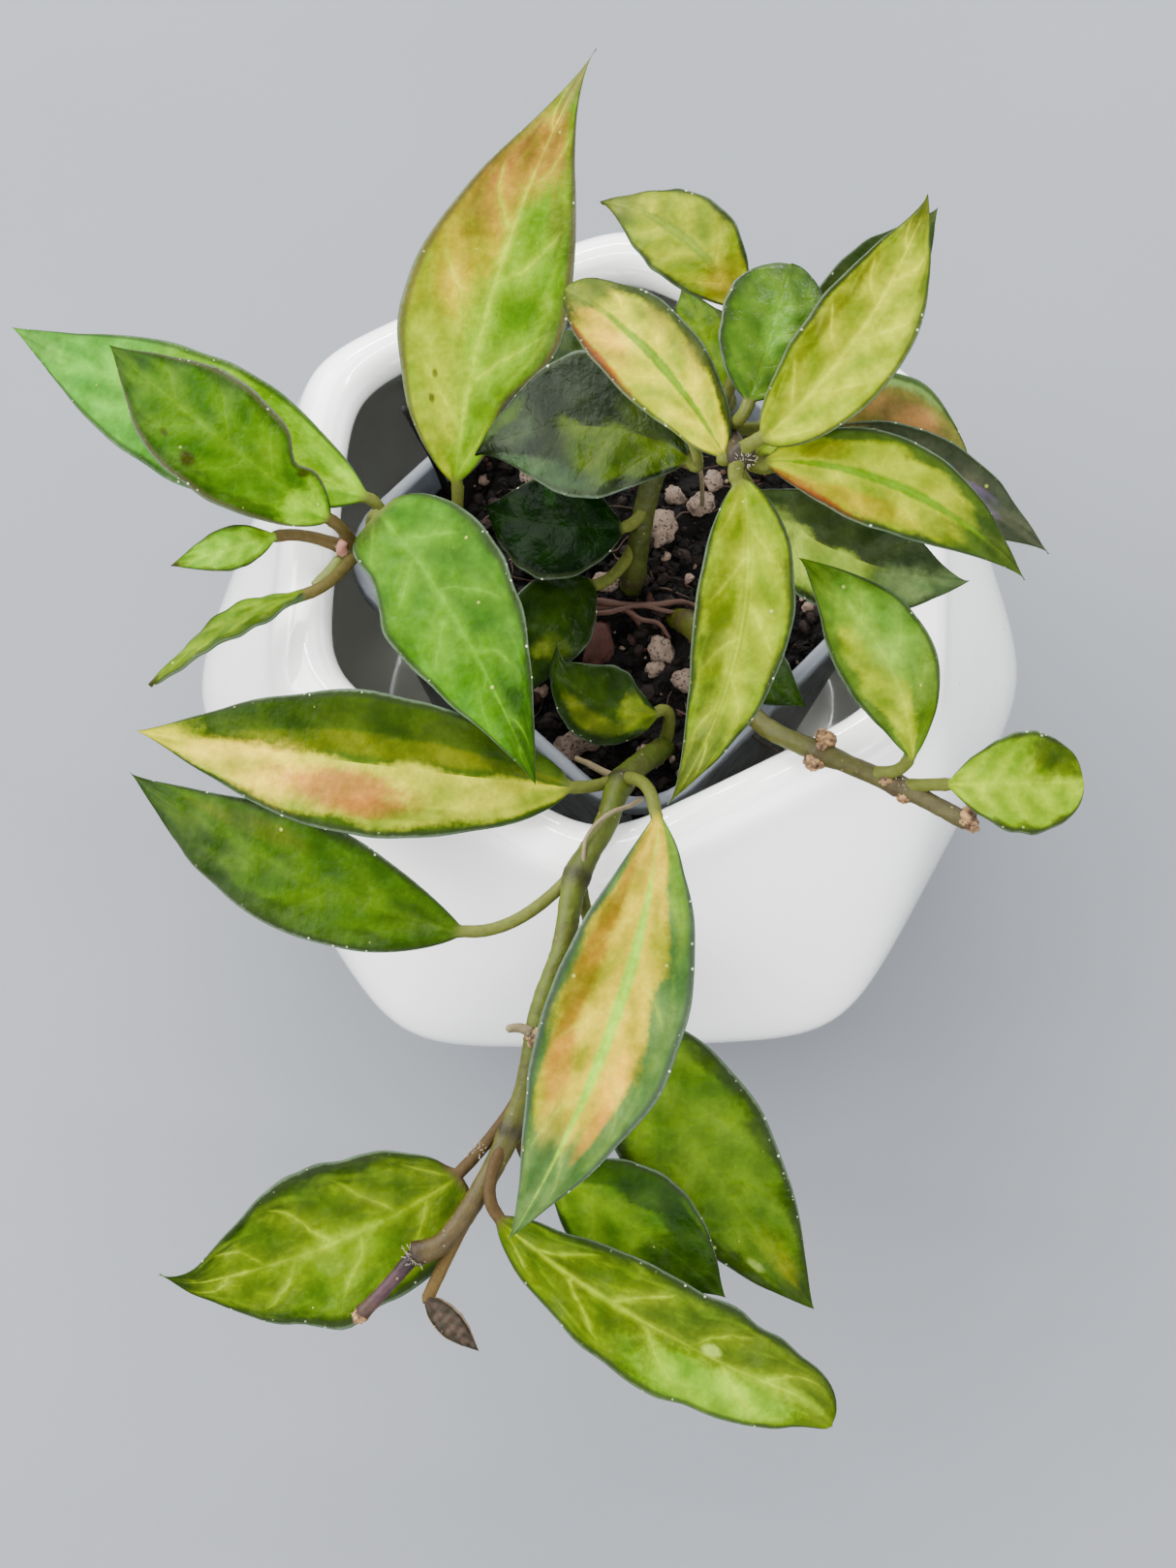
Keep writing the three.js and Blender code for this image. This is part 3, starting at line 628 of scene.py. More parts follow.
for index, (name, part) in enumerate(stonesInSoil.items()):
    bm = bmesh.new()
    x, y = part["place"]
    place = (x, y, soilHeight(x, y) + 0.3 * part["radius"])
    addStone(bm, part["radius"], part["stretch"], index + 1, place)
    look = (bark, "bark") if name == "barkChunk" else (pumice, "pumice")
    finishPiece(name, bm, *look, [part["node"]])

bm = bmesh.new()
for index, ((x, y), radius) in enumerate(looseStones.values()):
    addStone(bm, radius, (1.1, 0.85, 0.75), index + 9, (x, y, roughSoil(x, y) + 0.35 * radius))
finishPiece("loosePumice", bm, pumice, "pumice")
print("stones made")


# Stems. Each vertex keeps its place: x along the stem, y nearness to a node, z callus.

stems = {
    "tallStem": dict(slot="green_stem", start=2.3, end=2.0, nodes=(1, 3, 5, 6), points=[(2, -1, 86),
        (4, -3, 108), (6.2, 3.5, 126), (9, 9, 137), (12, 12, 149), (17, 3, 163), (21.5, -12.5, 175)],
        colours=("5f6a1c", "6b7426", "5a4a32"), nodeColour="4a3c2a", blush="4d5014"),
    "leftStem": dict(slot="green_stem", start=2.1, end=1.8, nodes=(2, 5), points=[(-25, 11, 88),
        (-29, 8, 108), (-33, 5, 117), (-39, 0, 124), (-45.5, -4, 126), (-53, -5.5, 127)],
        colours=("4d5e10", "5f7010", "77782a"), nodeColour="5b4026", blush="6b4f20"),
    "rightStem": dict(slot="old_stem", start=2.3, end=1.7, nodes=(1, 4, 5), points=[(8, -4, 90),
        (15, -13, 106), (21.5, -29.5, 116), (28, -42.5, 123), (38, -49.5, 126.5), (52, -56.5, 127),
        (64.5, -64, 127)], knobs=[((39, -47.6, 127.5), 2.4), ((36.5, -51, 126), 2.2),
        ((50.2, -55.2, 127.8), 2.0), ((53.3, -58.4, 126.6), 2.0), ((64.5, -63.4, 127.4), 2.3)],
        colours=("7a841c", "74741f", "7d7442"), nodeColour="6a5232", blush="5c4a1c"),
    "frontVine": dict(slot="green_stem", start=2.4, end=1.95, nodes=(2, 4, 8, 11), points=[(11, -33, 88),
        (8, -41.5, 108), (0, -53.5, 122), (-3, -63, 126), (-8.5, -73.5, 127), (-11.5, -87, 125),
        (-15.5, -97, 121), (-18.5, -109.5, 114), (-21.5, -117, 109.5), (-28.5, -129.5, 106),
        (-35, -137.5, 105), (-39.5, -139, 104.5)], knobs=[((-16.5, -102, 119.5), 2.2)],
        colours=("667a0e", "7c8a1c", "75602a"), nodeColour="2a1410", blush="5f3c1e"),
    "flowerStalk": dict(slot="purple_stalk", start=1.45, end=1.15, nodes=(2,), points=[(-39.5, -139, 104.5),
        (-45, -144.5, 101.5), (-49.5, -148.5, 98.5)], knobs=[((-49.9, -149.1, 98.2), 1.7)],
        colours=("2a1216", "6a444a", "7c5a44"), nodeColour="5a3a30", blush="4a2630"),
    "dryTwig": dict(slot="dry_wood", start=0.9, end=0.6, nodes=(), points=[(-33, 16, 92), (-35, 18.5, 112),
        (-41, 21.5, 134)], colours=("12100f", "1a1615", "2a2422"), nodeColour="2c2522", blush="332b28"),
    "surfaceRoot": dict(slot="bark", start=1.1, end=0.7, nodes=(), points=[(-8, -7.5, 102.4),
        (-2, -8.5, 104.2), (3, -9, 104), (6.5, -13, 102)], colours=("5f3a2a", "7a5040", "53342a"),
        nodeColour="7f5442", blush="8f6450"),
}

stemLook = {  # the swelling and the ring round a node are each a share or a height, and a length
    "pitch": 0.9, "swelling": (0.2, 3.5), "ring": (0.18, 0.9), "darkLength": 1.7, "around": 16,
    "roundEnd": (1, 0.72, 0.0), "lumps": 5, "mainLump": 0.86, "sideLumps": (0.4, 0.6), "lumpReach": 0.62,
    "cork": ("5f4632", "cbb088"), "wart": "c9c29a",
}


def stemMaterial(name, part, look):
    material, tree = newMaterial(name, specular=0.15)
    spot = objectPlace(tree)
    along, near, callus = add("SeparateXYZ", {0: mark(tree, "place", "Vector")}, "X", "Y", "Z")
    first, middle, last = part["colours"]
    flush = rise(grain(stretched(spot, (1.0, 1.0, 0.5)), 130.0, 3.0, 8.0), 0.5, 0.7)
    colour = layered(first, (rise(along, 0.05, 0.5), middle), (rise(along, 0.62, 0.95), last),
                     (near * 0.75, part["nodeColour"]), (flush * 0.5, part["blush"]))
    streaked = grain(spot, 420.0, 4.0)
    cork = tint(rise(grain(spot, 650.0, 5.0, 2.0), 0.35, 0.65), *look["cork"])
    warts = specks(spot, 700.0, 0.22, 0.2)
    colour = layered(times(colour, tint(streaked, shade(0.2), shade(1.25))), (callus, cork),
                     (warts * 0.45, look["wart"]))
    return dress(material, colour, streaked * 0.3 + 0.32, warts * 0.5 + grain(spot, 800.0, 4.0), 0.5, 0.0006)


def addKnob(bm, layer, spot, radius, sizes):  # a callus of uneven lumps round a main one
    for lump in range(sizes["lumps"]):
        size = radius * (random.uniform(*sizes["sideLumps"]) if lump else sizes["mainLump"])
        middle = Vector(spot) + scatter(sizes["lumpReach"]) * radius * (lump > 0)
        for vert in bmesh.ops.create_icosphere(bm, subdivisions=4, radius=size)["verts"]:
            unit = vert.co.normalized()
            dent = 0.3 * rough(unit, 0.5, radius + lump) + 0.2 * rough(unit, 0.18, radius + lump)
            vert.co = vert.co * (0.95 + dent) + middle
            vert[layer] = Vector((1, 0, 1))


def buildStem(name, part, sizes):
    path = pathThrough(part["points"])
    nodeSpots = [Vector(part["points"][index]) for index in part["nodes"]]
    steps = math.ceil(path[1][-1] / sizes["pitch"])
    (swelling, swellLength), (height, ringLength) = sizes["swelling"], sizes["ring"]
    rings, marks = [], []
    reference = Vector((1, 0, 0.2)) if abs(wayOn(path, 0).x) < 0.8 else Vector((0, 1, 0.2))
    for step in range(-2, steps + 3):
        share = min(max(step / steps, 0), 1)
        centre, way = pointOn(path, share), wayOn(path, share)
        reference = squareTo(way, reference)
        radius = mix(part["start"], part["end"], share)
        near = 0.0
        for spot in nodeSpots:
            gone = (centre - spot).length
            radius = radius * (1 + swelling * bell(gone, swellLength)) + height * bell(gone, ringLength)
            near = max(near, bell(gone, sizes["darkLength"]))
        over = step - min(max(step, 0), steps)  # beyond either end, where the stem is rounded off
        centre = centre + way * (sizes["pitch"] / 2 * over)
        radius *= sizes["roundEnd"][abs(over)]
        rings.append(ringAround(centre, reference, way.cross(reference), radius, sizes["around"], 0.09, 3.0))
        marks.append([Vector((share, near, 0))] * sizes["around"])
    bm = bmesh.new()
    layer = bm.verts.layers.float_vector.new("place")
    wrapGrid(bm, rings, marks, layer)
    for spot, radius in part.get("knobs", ()):
        addKnob(bm, layer, spot, radius, sizes)
    finishPiece(name, bm, stemMaterial(name + "Skin", part, sizes), part["slot"], [nodeName(name)])
    return path


stemPaths = {name: buildStem(name, part, stemLook) for name, part in stems.items()}
print("stems made")


# Leaves. Each vertex keeps its place: x from base 0 to tip 1, y from the right edge -1 to the left
# edge 1, z 1 on the underside. The petiole has x below 0. A leaf rises from its family's stem, "at"
# a share of its length. A patch is a colour, its share, side, length, width and strength.

familyStems = {"crown": "tallStem", "inner": "tallStem", "left": "leftStem", "right": "rightStem",
               "vine": "frontVine"}
veinSizes = {"count": 4.5, "slant": 0.9, "curve": 1.4, "offset": 0.45}
bladeSizes = {
    "petiole": 1.2, "thickness": 1.2, "edge": 0.75, "petioleRows": 12, "rows": 56, "around": 40,
    "quilt": 0.24, "crimp": 0.22, "groove": 0.28, "grooveWidth": 0.7,
    "towardsLight": Vector((0, -0.36, 0.93)).normalized(),
}
usualLeaf = dict(
    width=18, widest=0.42, baseFull=0.75, tipFull=1.15, bend=0, arch=4, roll=0, cup=0.12, waves=1.5,
    waveHeight=0.5, bow=0.4, notch=None, hook=0.0, plump=0.0, ridges=0.0, wavy=0.05, margin="4c6f1e",
    middle="7d9c12", left=0.8, right=0.8, tipFrom=0.88, stripe=None, stripeWidth=0.1, veinColour=None,
    veins=0.3, net=0.12, patches=(), petiole="8d9448", under="7f9a52", edge="33421a", dust=0.12, gloss=0.24,
    level=(0.75, 0.75, 0.375), shine=0.03)

leaves = {
    "crownLeafLeft": dict(at=0.97, base=(18.3, -11, 172.5), tip=(-9, 28, 166), width=17, widest=0.5,
        baseFull=0.55, tipFull=0.55, bend=-2.4, arch=5, margin="5e6a48", middle="d2d048", left=1.1,
        right=0.72, tipFrom=0.8, stripe="8aac10", stripeWidth=0.11, veins=0.25, level=(0.71, 0.72, 0.15),
        patches=(
            ("d8c184", 0.68, 0.5, 0.22, 0.4, 0.85), ("b08a4c", 0.62, 0.93, 0.25, 0.14, 0.8),
            ("b9b27c", 0.5, -0.6, 0.25, 0.22, 0.7), ("c9643a", 0.62, 0.95, 0.26, 0.16, 0.9),
            ("8f9c74", 0.93, -0.35, 0.14, 0.9, 0.85))),
    "crownLeafRound": dict(at=0.88, base=(23, -3, 178), tip=(31, 21, 184), width=19, widest=0.55,
        baseFull=0.6, tipFull=0.5, arch=2, margin="466209", middle="5f7e06", veins=0.12, net=0.04,
        gloss=0.12, shine=0.1, dust=0.05, level=(0.87, 1.06, 0.435), patches=(
            # the pale green patch 8fb05c is a painted highlight, the glare in the middle of this glossy leaf
            ("8fb05c", 0.52, -0.1, 0.24, 0.3, 0.55),)),
    "crownLeafPale": dict(at=0.98, base=(24.6, -10.6, 178.3), tip=(55, 31, 190), width=18.5, baseFull=0.52,
        bend=-4, margin="66791c", middle="c0cb45", left=1.1, right=1.1, tipFrom=0.93, veins=0.5,
        veinColour="dfe592", level=(0.59, 0.53, 0.265), patches=(
            ("ced870", 0.35, -0.4, 0.45, 0.5, 0.85), ("98a416", 0.45, 0.7, 0.4, 0.18, 0.9),
            ("4f6614", 0.6, 0.97, 0.3, 0.12, 0.9), ("9cb25a", 0.7, -0.92, 0.25, 0.2, 0.8),
            ("6f821e", 0.97, 0.1, 0.13, 1.1, 0.85))),
    "crownLeafRight": dict(at=0.95, base=(25.8, -12.6, 172.3), tip=(72, -31, 162), width=17, widest=0.38,
        baseFull=0.65, bend=5.3, margin="66803a", middle="c0c534", left=0.7, right=0.85, tipFrom=0.7,
        stripe="86ac20", stripeWidth=0.12, veins=0.2, level=(0.59, 0.64, 0.295), patches=(
            ("c6b412", 0.3, -0.6, 0.26, 0.25, 0.8), ("959a1a", 0.17, 0.4, 0.09, 0.3, 0.8),
            ("b8864e", 0.08, -0.85, 0.16, 0.3, 0.85), ("c2603a", 0.14, -0.95, 0.22, 0.14, 0.9),
            ("c9cd68", 0.05, 0.5, 0.06, 0.5, 0.8), ("5c7032", 0.9, 0.3, 0.12, 0.9, 0.7))),
    "crownLeafFront": dict(at=0.99, base=(20.6, -16, 173), tip=(8, -65, 142), width=17.5, widest=0.35,
        baseFull=0.52, bend=6, arch=5, margin="7c9040", middle="c3d04c", left=0.85, right=0.9, tipFrom=0.8,
        stripe="a9bf28", stripeWidth=0.09, veinColour="dfe68e", veins=0.35, level=(0.51, 0.5, 0.25),
        patches=(
            ("8ea414", 0.45, -0.5, 0.3, 0.35, 0.85), ("b4be10", 0.12, -0.4, 0.14, 0.5, 0.8),
            ("98ac64", 0.78, 0.0, 0.12, 0.8, 0.6))),
    "crownLeafBack": dict(at=0.84, base=(22.5, 22, 168), tip=(-2, 48, 164), width=17, baseFull=0.6,
        bend=-3.5, margin="70794e", middle="b8bd50", left=0.95, right=0.88, tipFrom=0.8, stripe="98aa4a",
        stripeWidth=0.13, veins=0.3, level=(0.63, 0.66, 0.3), patches=(
            ("a89a3c", 0.1, 0.1, 0.13, 0.8, 0.8), ("8f9c5a", 0.85, 0.0, 0.14, 1.0, 0.6))),
    "crownLeafShaded": dict(at=0.87, base=(28, -1, 168), tip=(60, 40.5, 172), width=17, widest=0.5,
        bend=-0.5, margin="4a5f34", middle="5d7440", left=0.5, right=0.6, veins=0.15),
    "crownLeafUnder": dict(at=0.81, base=(21, 8, 160), tip=(13, 34.5, 156), width=12, arch=2,
        margin="5f7c0c", middle="8aa83a", veins=0.2, level=(0.81, 0.86, 0.405)),
    "crownLeafRightUnder": dict(at=0.83, base=(28, -8, 163), tip=(79, -21, 152), widest=0.38, bend=5,
        margin="405e06", middle="66753c", left=0.5, right=0.65, tipFrom=0.75, veins=0.15,
        level=(1.55, 0.9, 6.0), patches=(
            ("b9c264", 0.16, 0.5, 0.16, 0.5, 0.8),)),
    "crownLeafPink": dict(at=0.77, base=(26, -3, 158), tip=(68, -6, 149), width=24, widest=0.5, bend=6.5,
        arch=3, margin="6c6c2c", middle="8d7038", left=0.9, right=0.8, veins=0.12, level=(2.1, 2.8, 2.4),
        patches=(
            ("98a070", 0.5, 0.95, 0.2, 0.2, 0.8), ("b3b759", 0.05, 0.0, 0.1, 1.0, 0.8),
            ("a8684a", 0.6, 0.4, 0.2, 0.3, 0.7))),
    "crownLeafDark": dict(at=0.71, base=(25, -5, 149), tip=(67, -18.5, 136), width=22, widest=0.45, bend=-5,
        arch=3, margin="28341c", middle="879a46", left=0.02, right=0.88, tipFrom=0.62, veins=0.1, gloss=0.2,
        dust=0.2, level=(2.5, 2.65, 1.9), patches=(
            # the grey-green patch 6a7c5c is painted sheen on this dark leaf
            ("5c6c30", 0.12, -0.3, 0.13, 0.6, 0.9), ("6a7c5c", 0.74, -0.35, 0.16, 0.6, 0.8),
            ("4c5b44", 0.93, -0.2, 0.1, 1.0, 0.8))),
    "innerLeafBroad": dict(at=0.66, base=(14.5, 2, 146), tip=(-27, 12, 132), width=28, widest=0.45,
        baseFull=0.6, bend=-6, arch=3, margin="2c3a12", middle="7b8a12", left=0.8, right=0.04, tipFrom=0.55,
        veins=0.1, net=0.04, gloss=0.18, dust=0.12, shine=0.06, level=(0.4, 0.52, 0.4), patches=(
            # the pale grey-green patch 7c8e6c is painted sheen, the sky's reflection on this glossy leaf
            ("566404", 0.2, -0.25, 0.16, 0.3, 0.8), ("7c8e6c", 0.64, 0.8, 0.28, 0.28, 0.8),
            ("637058", 0.8, -0.1, 0.1, 0.5, 0.6), ("728a1c", 0.85, -0.7, 0.12, 0.3, 0.7))),
    "innerLeafGrey": dict(at=0.5, base=(5, 13, 134), tip=(-11, 42, 130), arch=3, margin="62805c",
        middle="6d8868", veins=0.1, dust=0.2),
    "innerLeafDark": dict(at=0.45, base=(2, 0, 124), tip=(-26, 9, 116), width=22, bend=2, arch=3,
        margin="142202", middle="1b2d02", veins=0.12, net=0.05, dust=0.05, level=(0.28, 0.76, 0.24),
        patches=(
            ("4a5c3c", 0.5, -0.6, 0.06, 0.3, 0.6), ("26380e", 0.6, 0.5, 0.12, 0.3, 0.6))),
    "innerLeafStriped": dict(at=0.32, base=(-4, -7, 112), tip=(-18.5, -31.5, 109.5), width=17, baseFull=0.6,
        bend=-3.5, arch=3, margin="182a02", middle="203402", left=0.5, right=0.5, veins=0.1, net=0.04,
        dust=0.05, level=(1.18, 1.51, 0.59), patches=(
            ("4c5610", 0.58, 0.4, 0.1, 0.5, 0.9), ("6f7430", 0.64, 0.1, 0.06, 0.3, 0.7),
            ("2c1e10", 0.2, 0.95, 0.2, 0.12, 0.8))),
    "innerLeafFront": dict(stem="frontVine", at=0.11, base=(8, -35, 113), tip=(-13, -24, 117), width=16,
        bend=4, arch=2, hook=-3.0, margin="162a01", middle="1d3401", left=0.6, right=0.5, veins=0.15,
        net=0.05, dust=0.05, level=(1.9, 1.95, 0.95), patches=(
            ("6c7a20", 0.16, 0.0, 0.13, 0.7, 0.9), ("556002", 0.47, 0.5, 0.27, 0.28, 0.9),
            ("566404", 0.05, 0.3, 0.07, 0.9, 0.8))),
    "innerLeafRight": dict(stem="rightStem", at=0.28, base=(17, -17, 110), tip=(37, -36, 116), width=15,
        arch=2, margin="304712", middle="3c5422", veins=0.12, dust=0.1, level=(0.6, 0.85, 0.3)),
    "leftLeafTall": dict(at=0.5, base=(-31, 10, 124), tip=(-2, 88, 158), width=32.5, widest=0.36,
        tipFull=1.7, bend=4.5, arch=6, notch=(-1, 0.17, 0.4, 0.1), margin="7b9834", middle="9ab812",
        left=1.1, right=0.82, tipFrom=0.93, veins=0.36, veinColour="d9df90", edge="6d5a3a",
        level=(0.7, 0.78, 0.35), patches=(
            ("c6c952", 0.2, 0.6, 0.34, 0.5, 0.95), ("cdb858", 0.52, 0.55, 0.2, 0.5, 0.9),
            ("c8a468", 0.64, 0.5, 0.14, 0.6, 0.9), ("c79668", 0.76, -0.1, 0.12, 0.75, 0.85),
            ("b87e62", 0.74, 0.7, 0.14, 0.25, 0.8), ("a59a80", 0.95, 0.0, 0.11, 1.2, 0.9),
            ("6e7038", 0.17, 0.55, 0.012, 0.06, 0.9), ("77743a", 0.22, 0.5, 0.01, 0.05, 0.9),
            ("8c8a50", 0.62, -0.65, 0.07, 0.2, 0.6))),
    "leftLeafDrooping": dict(at=0.9, base=(-46, -1.5, 133), tip=(-16, -58.9, 136.5), width=28, widest=0.3,
        baseFull=0.33, bend=3, notch=(-1, 0.2, 0.28, 0.14), margin="5c8400", middle="7aa60c", left=0.85,
        right=1.2, veinColour="b9d68e", veins=0.35, net=0.1, gloss=0.2, level=(0.43, 0.56, 0.15), patches=(
            # the pale green patches 9cc058 and 9cc460 are painted sheen on this glossy leaf
            ("9cc058", 0.38, -0.45, 0.34, 0.5, 0.5), ("8cb806", 0.12, 0.4, 0.12, 0.8, 0.7),
            ("9cc460", 0.7, -0.8, 0.22, 0.35, 0.6), ("4e7402", 0.85, 0.4, 0.16, 0.6, 0.8),
            ("5a6a08", 0.03, -0.5, 0.05, 0.6, 0.8))),
    "leftLeafFar": dict(at=0.86, base=(-48, 3.5, 131), tip=(-121, 45, 128), width=26, bend=1,
        margin="90b862", middle="c0cc4c", left=0.15, right=1.1, tipFrom=0.62, veins=0.2, dust=0.15,
        level=(0.52, 0.84, 0.42), patches=(
            ("7da054", 0.96, 0.0, 0.13, 1.2, 0.85), ("b9c45a", 0.05, 0.3, 0.1, 0.8, 0.8))),
    "leftLeafTorn": dict(at=0.97, base=(-55, -3, 135), tip=(-98, 32, 142), width=22.5, widest=0.5,
        baseFull=0.6, bend=1, notch=(-1, 0.2, 0.35, 0.05), margin="588002", middle="7aa602", left=0.72,
        right=0.8, veins=0.3, veinColour="a9c826", gloss=0.18, petiole="7a6a35", edge="5d5a35", dust=0.08,
        level=(0.45, 0.5, 0.12), patches=(
            ("c2d86c", 0.06, 0.1, 0.1, 1.0, 0.95), ("5a4a14", 0.5, 0.6, 0.035, 0.12, 0.85),
            ("64601c", 0.3, -0.35, 0.02, 0.07, 0.8), ("64601c", 0.62, 0.55, 0.02, 0.06, 0.8),
            ("5c4a20", 0.16, -0.75, 0.02, 0.2, 0.8), ("98bc04", 0.32, -0.5, 0.1, 0.3, 0.6))),
    "leftLeafSmall": dict(at=0.99, base=(-66, -4, 130), tip=(-86, -10.5, 131), width=8.5, arch=1,
        margin="86a63c", middle="aaca6a", tipFrom=0.85, petiole="8d7a4a", veins=0.2,
        level=(0.65, 0.7, 0.325), patches=(
            ("5d4f38", 0.98, 0.0, 0.07, 1.2, 0.95), ("86a41a", 0.12, -0.4, 0.14, 0.6, 0.6))),
    "leftLeafNarrow": dict(at=0.95, base=(-60, -16, 129), tip=(-90, -33, 125), width=11, arch=2, roll=55,
        margin="93a932", middle="9fb82e", veins=0.12, petiole="8d8248", level=(0.46, 0.49, 0.23), patches=(
            ("bace70", 0.25, -0.65, 0.3, 0.35, 0.8), ("7c9204", 0.4, 0.75, 0.5, 0.3, 0.8),
            ("5d5a40", 0.98, 0.0, 0.06, 1.2, 0.9))),
    "rightLeafUpright": dict(at=0.8, base=(53.5, -53.5, 133), tip=(32.5, -23.5, 157), widest=0.5, bend=-4.5,
        margin="74923a", middle="b0ba26", left=0.7, right=0.3, tipFrom=0.72, veins=0.2, dust=0.15,
        level=(0.93, 0.98, 0.465), patches=(
            ("93b564", 0.56, -0.3, 0.26, 0.65, 0.85), ("658416", 0.95, 0.0, 0.1, 1.2, 0.85),
            ("6a8a04", 0.15, -0.65, 0.12, 0.4, 0.8), ("8eb058", 0.76, 0.2, 0.1, 0.6, 0.7))),
    "rightLeafRound": dict(at=0.86, base=(61, -58, 131), tip=(85.5, -59, 134), width=19, widest=0.6,
        baseFull=0.8, tipFull=0.45, arch=2, margin="7d9f44", middle="c0dc46", left=1.0, right=0.9,
        tipFrom=1.2, veins=0.2, level=(0.48, 0.37, 0.185), patches=(
            ("6a9022", 0.8, 0.6, 0.24, 0.5, 0.9), ("97be30", 0.66, 0.1, 0.1, 0.25, 0.6),
            ("d0e46c", 0.15, 0.0, 0.14, 0.7, 0.6))),
    "vineLeafPink": dict(at=0.25, base=(-9.5, -55.5, 126), tip=(-92.5, -41.5, 123), width=27, widest=0.45,
        baseFull=0.6, bend=0.5, arch=7, margin="50620f", middle="c4ba66", left=0.84, right=0.02,
        tipFrom=1.2, veins=0.08, net=0.02, gloss=0.28, dust=0.03, level=(0.74, 0.98, 0.38), patches=(
            ("4b5a00", 0.42, -0.62, 0.4, 0.25, 0.9), ("827e05", 0.42, -0.27, 0.42, 0.17, 0.9),
            ("dfc78c", 0.74, 0.35, 0.24, 0.5, 0.9), ("d0907a", 0.5, 0.42, 0.17, 0.3, 0.9),
            ("bf7657", 0.42, 0.6, 0.1, 0.16, 0.75), ("d2c468", 0.95, 0.0, 0.12, 1.1, 0.85),
            ("8f9030", 0.31, 0.66, 0.1, 0.12, 0.6))),
    "vineLeafOrange": dict(at=0.28, base=(6, -64, 135), tip=(-22, -139.5, 121), width=25.5, widest=0.48,
        baseFull=0.85, bend=5, arch=5, margin="71886a", middle="d6be6a", left=0.5, right=0.8, tipFrom=0.77,
        stripe="b4c868", stripeWidth=0.09, veinColour="d6d890", veins=0.15, net=0.03, gloss=0.3,
        edge="4a5548", dust=0.1, level=(0.76, 0.97, 0.48), patches=(
            ("c08a3a", 0.35, -0.62, 0.36, 0.2, 0.9), ("d9a468", 0.62, -0.55, 0.09, 0.24, 0.8),
            ("e2c07c", 0.62, 0.35, 0.12, 0.2, 0.8), ("c8a85c", 0.08, -0.2, 0.1, 0.7, 0.6),
            ("94a84e", 0.14, 0.7, 0.16, 0.25, 0.7), ("d8a070", 0.72, 0.42, 0.08, 0.14, 0.6))),
    "vineLeafLeft": dict(at=0.43, base=(-29.5, -82, 121), tip=(-95, -46.5, 114), width=22, bend=3.5,
        margin="4a6a12", middle="6c9000", left=0.62, right=0.9, tipFrom=0.9, veins=0.18, petiole="949a52",
        dust=0.1, level=(0.45, 0.53, 0.225), patches=(
            ("547200", 0.08, 0.0, 0.12, 1.0, 0.7), ("7b8a02", 0.62, -0.5, 0.2, 0.22, 0.8),
            # the pale patch 78964c near the left base is painted sheen
            ("78964c", 0.32, 0.75, 0.14, 0.2, 0.6), ("526c22", 0.78, 0.35, 0.16, 0.5, 0.7))),
    "vineLeafLarge": dict(at=0.45, base=(-2, -92, 111), tip=(36.5, -146, 75), width=28, tipFull=1, bend=-2,
        arch=2.5, margin="446002", middle="6f9200", left=0.78, right=0.68, veins=0.15, dust=0.08,
        level=(0.83, 0.88, 0.415), patches=(
            ("82a200", 0.4, -0.6, 0.16, 0.25, 0.7), ("7c9200", 0.8, 0.1, 0.09, 0.4, 0.8),
            ("8b9008", 0.87, 0.15, 0.06, 0.3, 0.7), ("a9b98c", 0.8, -0.5, 0.03, 0.12, 0.9))),
    "vineLeafEndLeft": dict(at=0.74, base=(-31.5, -124, 104), tip=(-88.5, -141.5, 87), width=30,
        baseFull=0.45, tipFull=1.3, bend=3.5, arch=2, hook=-2.6, wavy=0.09, margin="446003",
        middle="7d9500", left=0.85, right=0.74, tipFrom=0.86, veins=0.5, veinColour="cbd65c", net=0.2,
        petiole="77603a", gloss=0.2, dust=0.1, level=(0.55, 0.6, 0.275), patches=(
            ("a4ba22", 0.42, 0.18, 0.2, 0.4, 0.7), ("9ab44e", 0.4, 0.65, 0.2, 0.2, 0.6),
            ("3c5508", 0.97, 0.0, 0.1, 1.2, 0.9), ("6a8002", 0.05, 0.0, 0.08, 1.0, 0.6))),
    "vineLeafEndFront": dict(at=0.8, base=(-24, -133, 108), tip=(39.5, -166.5, 87), width=21, widest=0.56,
        baseFull=0.6, tipFull=0.55, bend=-3, hook=-3.4, wavy=0.12, margin="566f04", middle="7a9400",
        left=0.78, right=1.1, tipFrom=1.1, veins=0.45, veinColour="cfdc60", net=0.2, petiole="77603a",
        gloss=0.2, dust=0.1, level=(0.66, 0.66, 0.33), patches=(
            ("bdd64c", 0.66, -0.55, 0.24, 0.5, 0.85), ("b0c81c", 0.82, -0.05, 0.14, 0.3, 0.7),
            ("cbd8a4", 0.62, 0.12, 0.03, 0.12, 0.9), ("627800", 0.2, 0.0, 0.1, 0.3, 0.5))),
    "vineLeafEndUnder": dict(at=0.77, base=(-15, -124, 101), tip=(18.5, -145.5, 88), width=22, bend=2,
        arch=3, margin="2a4402", middle="647e01", left=0.35, right=0.9, tipFrom=0.58, veins=0.15,
        petiole="77603a", dust=0.08, level=(1.4, 1.7, 0.7), patches=(
            ("607a01", 0.62, 0.92, 0.1, 0.12, 0.7),)),
    "vineBudLeaf": dict(at=0.9, base=(-37.5, -146.5, 100), tip=(-28, -156, 98), width=5.5, baseFull=0.5,
        arch=0.5, waveHeight=0, bow=0, plump=2.6, ridges=0.14, margin="4f3324", middle="7a553c", veins=0.2,
        net=0.0, petiole="8d7440", under="5c3f2c", edge="b09a80", veinColour="a8866a",
        level=(0.56, 0.76, 1.3)),
}

# rim is a painted reflection along each leaf's rounded glossy edge
skinColours = {"dust": "a9b698", "fleck": "cdd39a", "rim": "8a9c86", "dots": "dfe2d6", "underVein": "c3cf96"}
placeInputs = {"Place": "Vector", "Seed": 0.0}


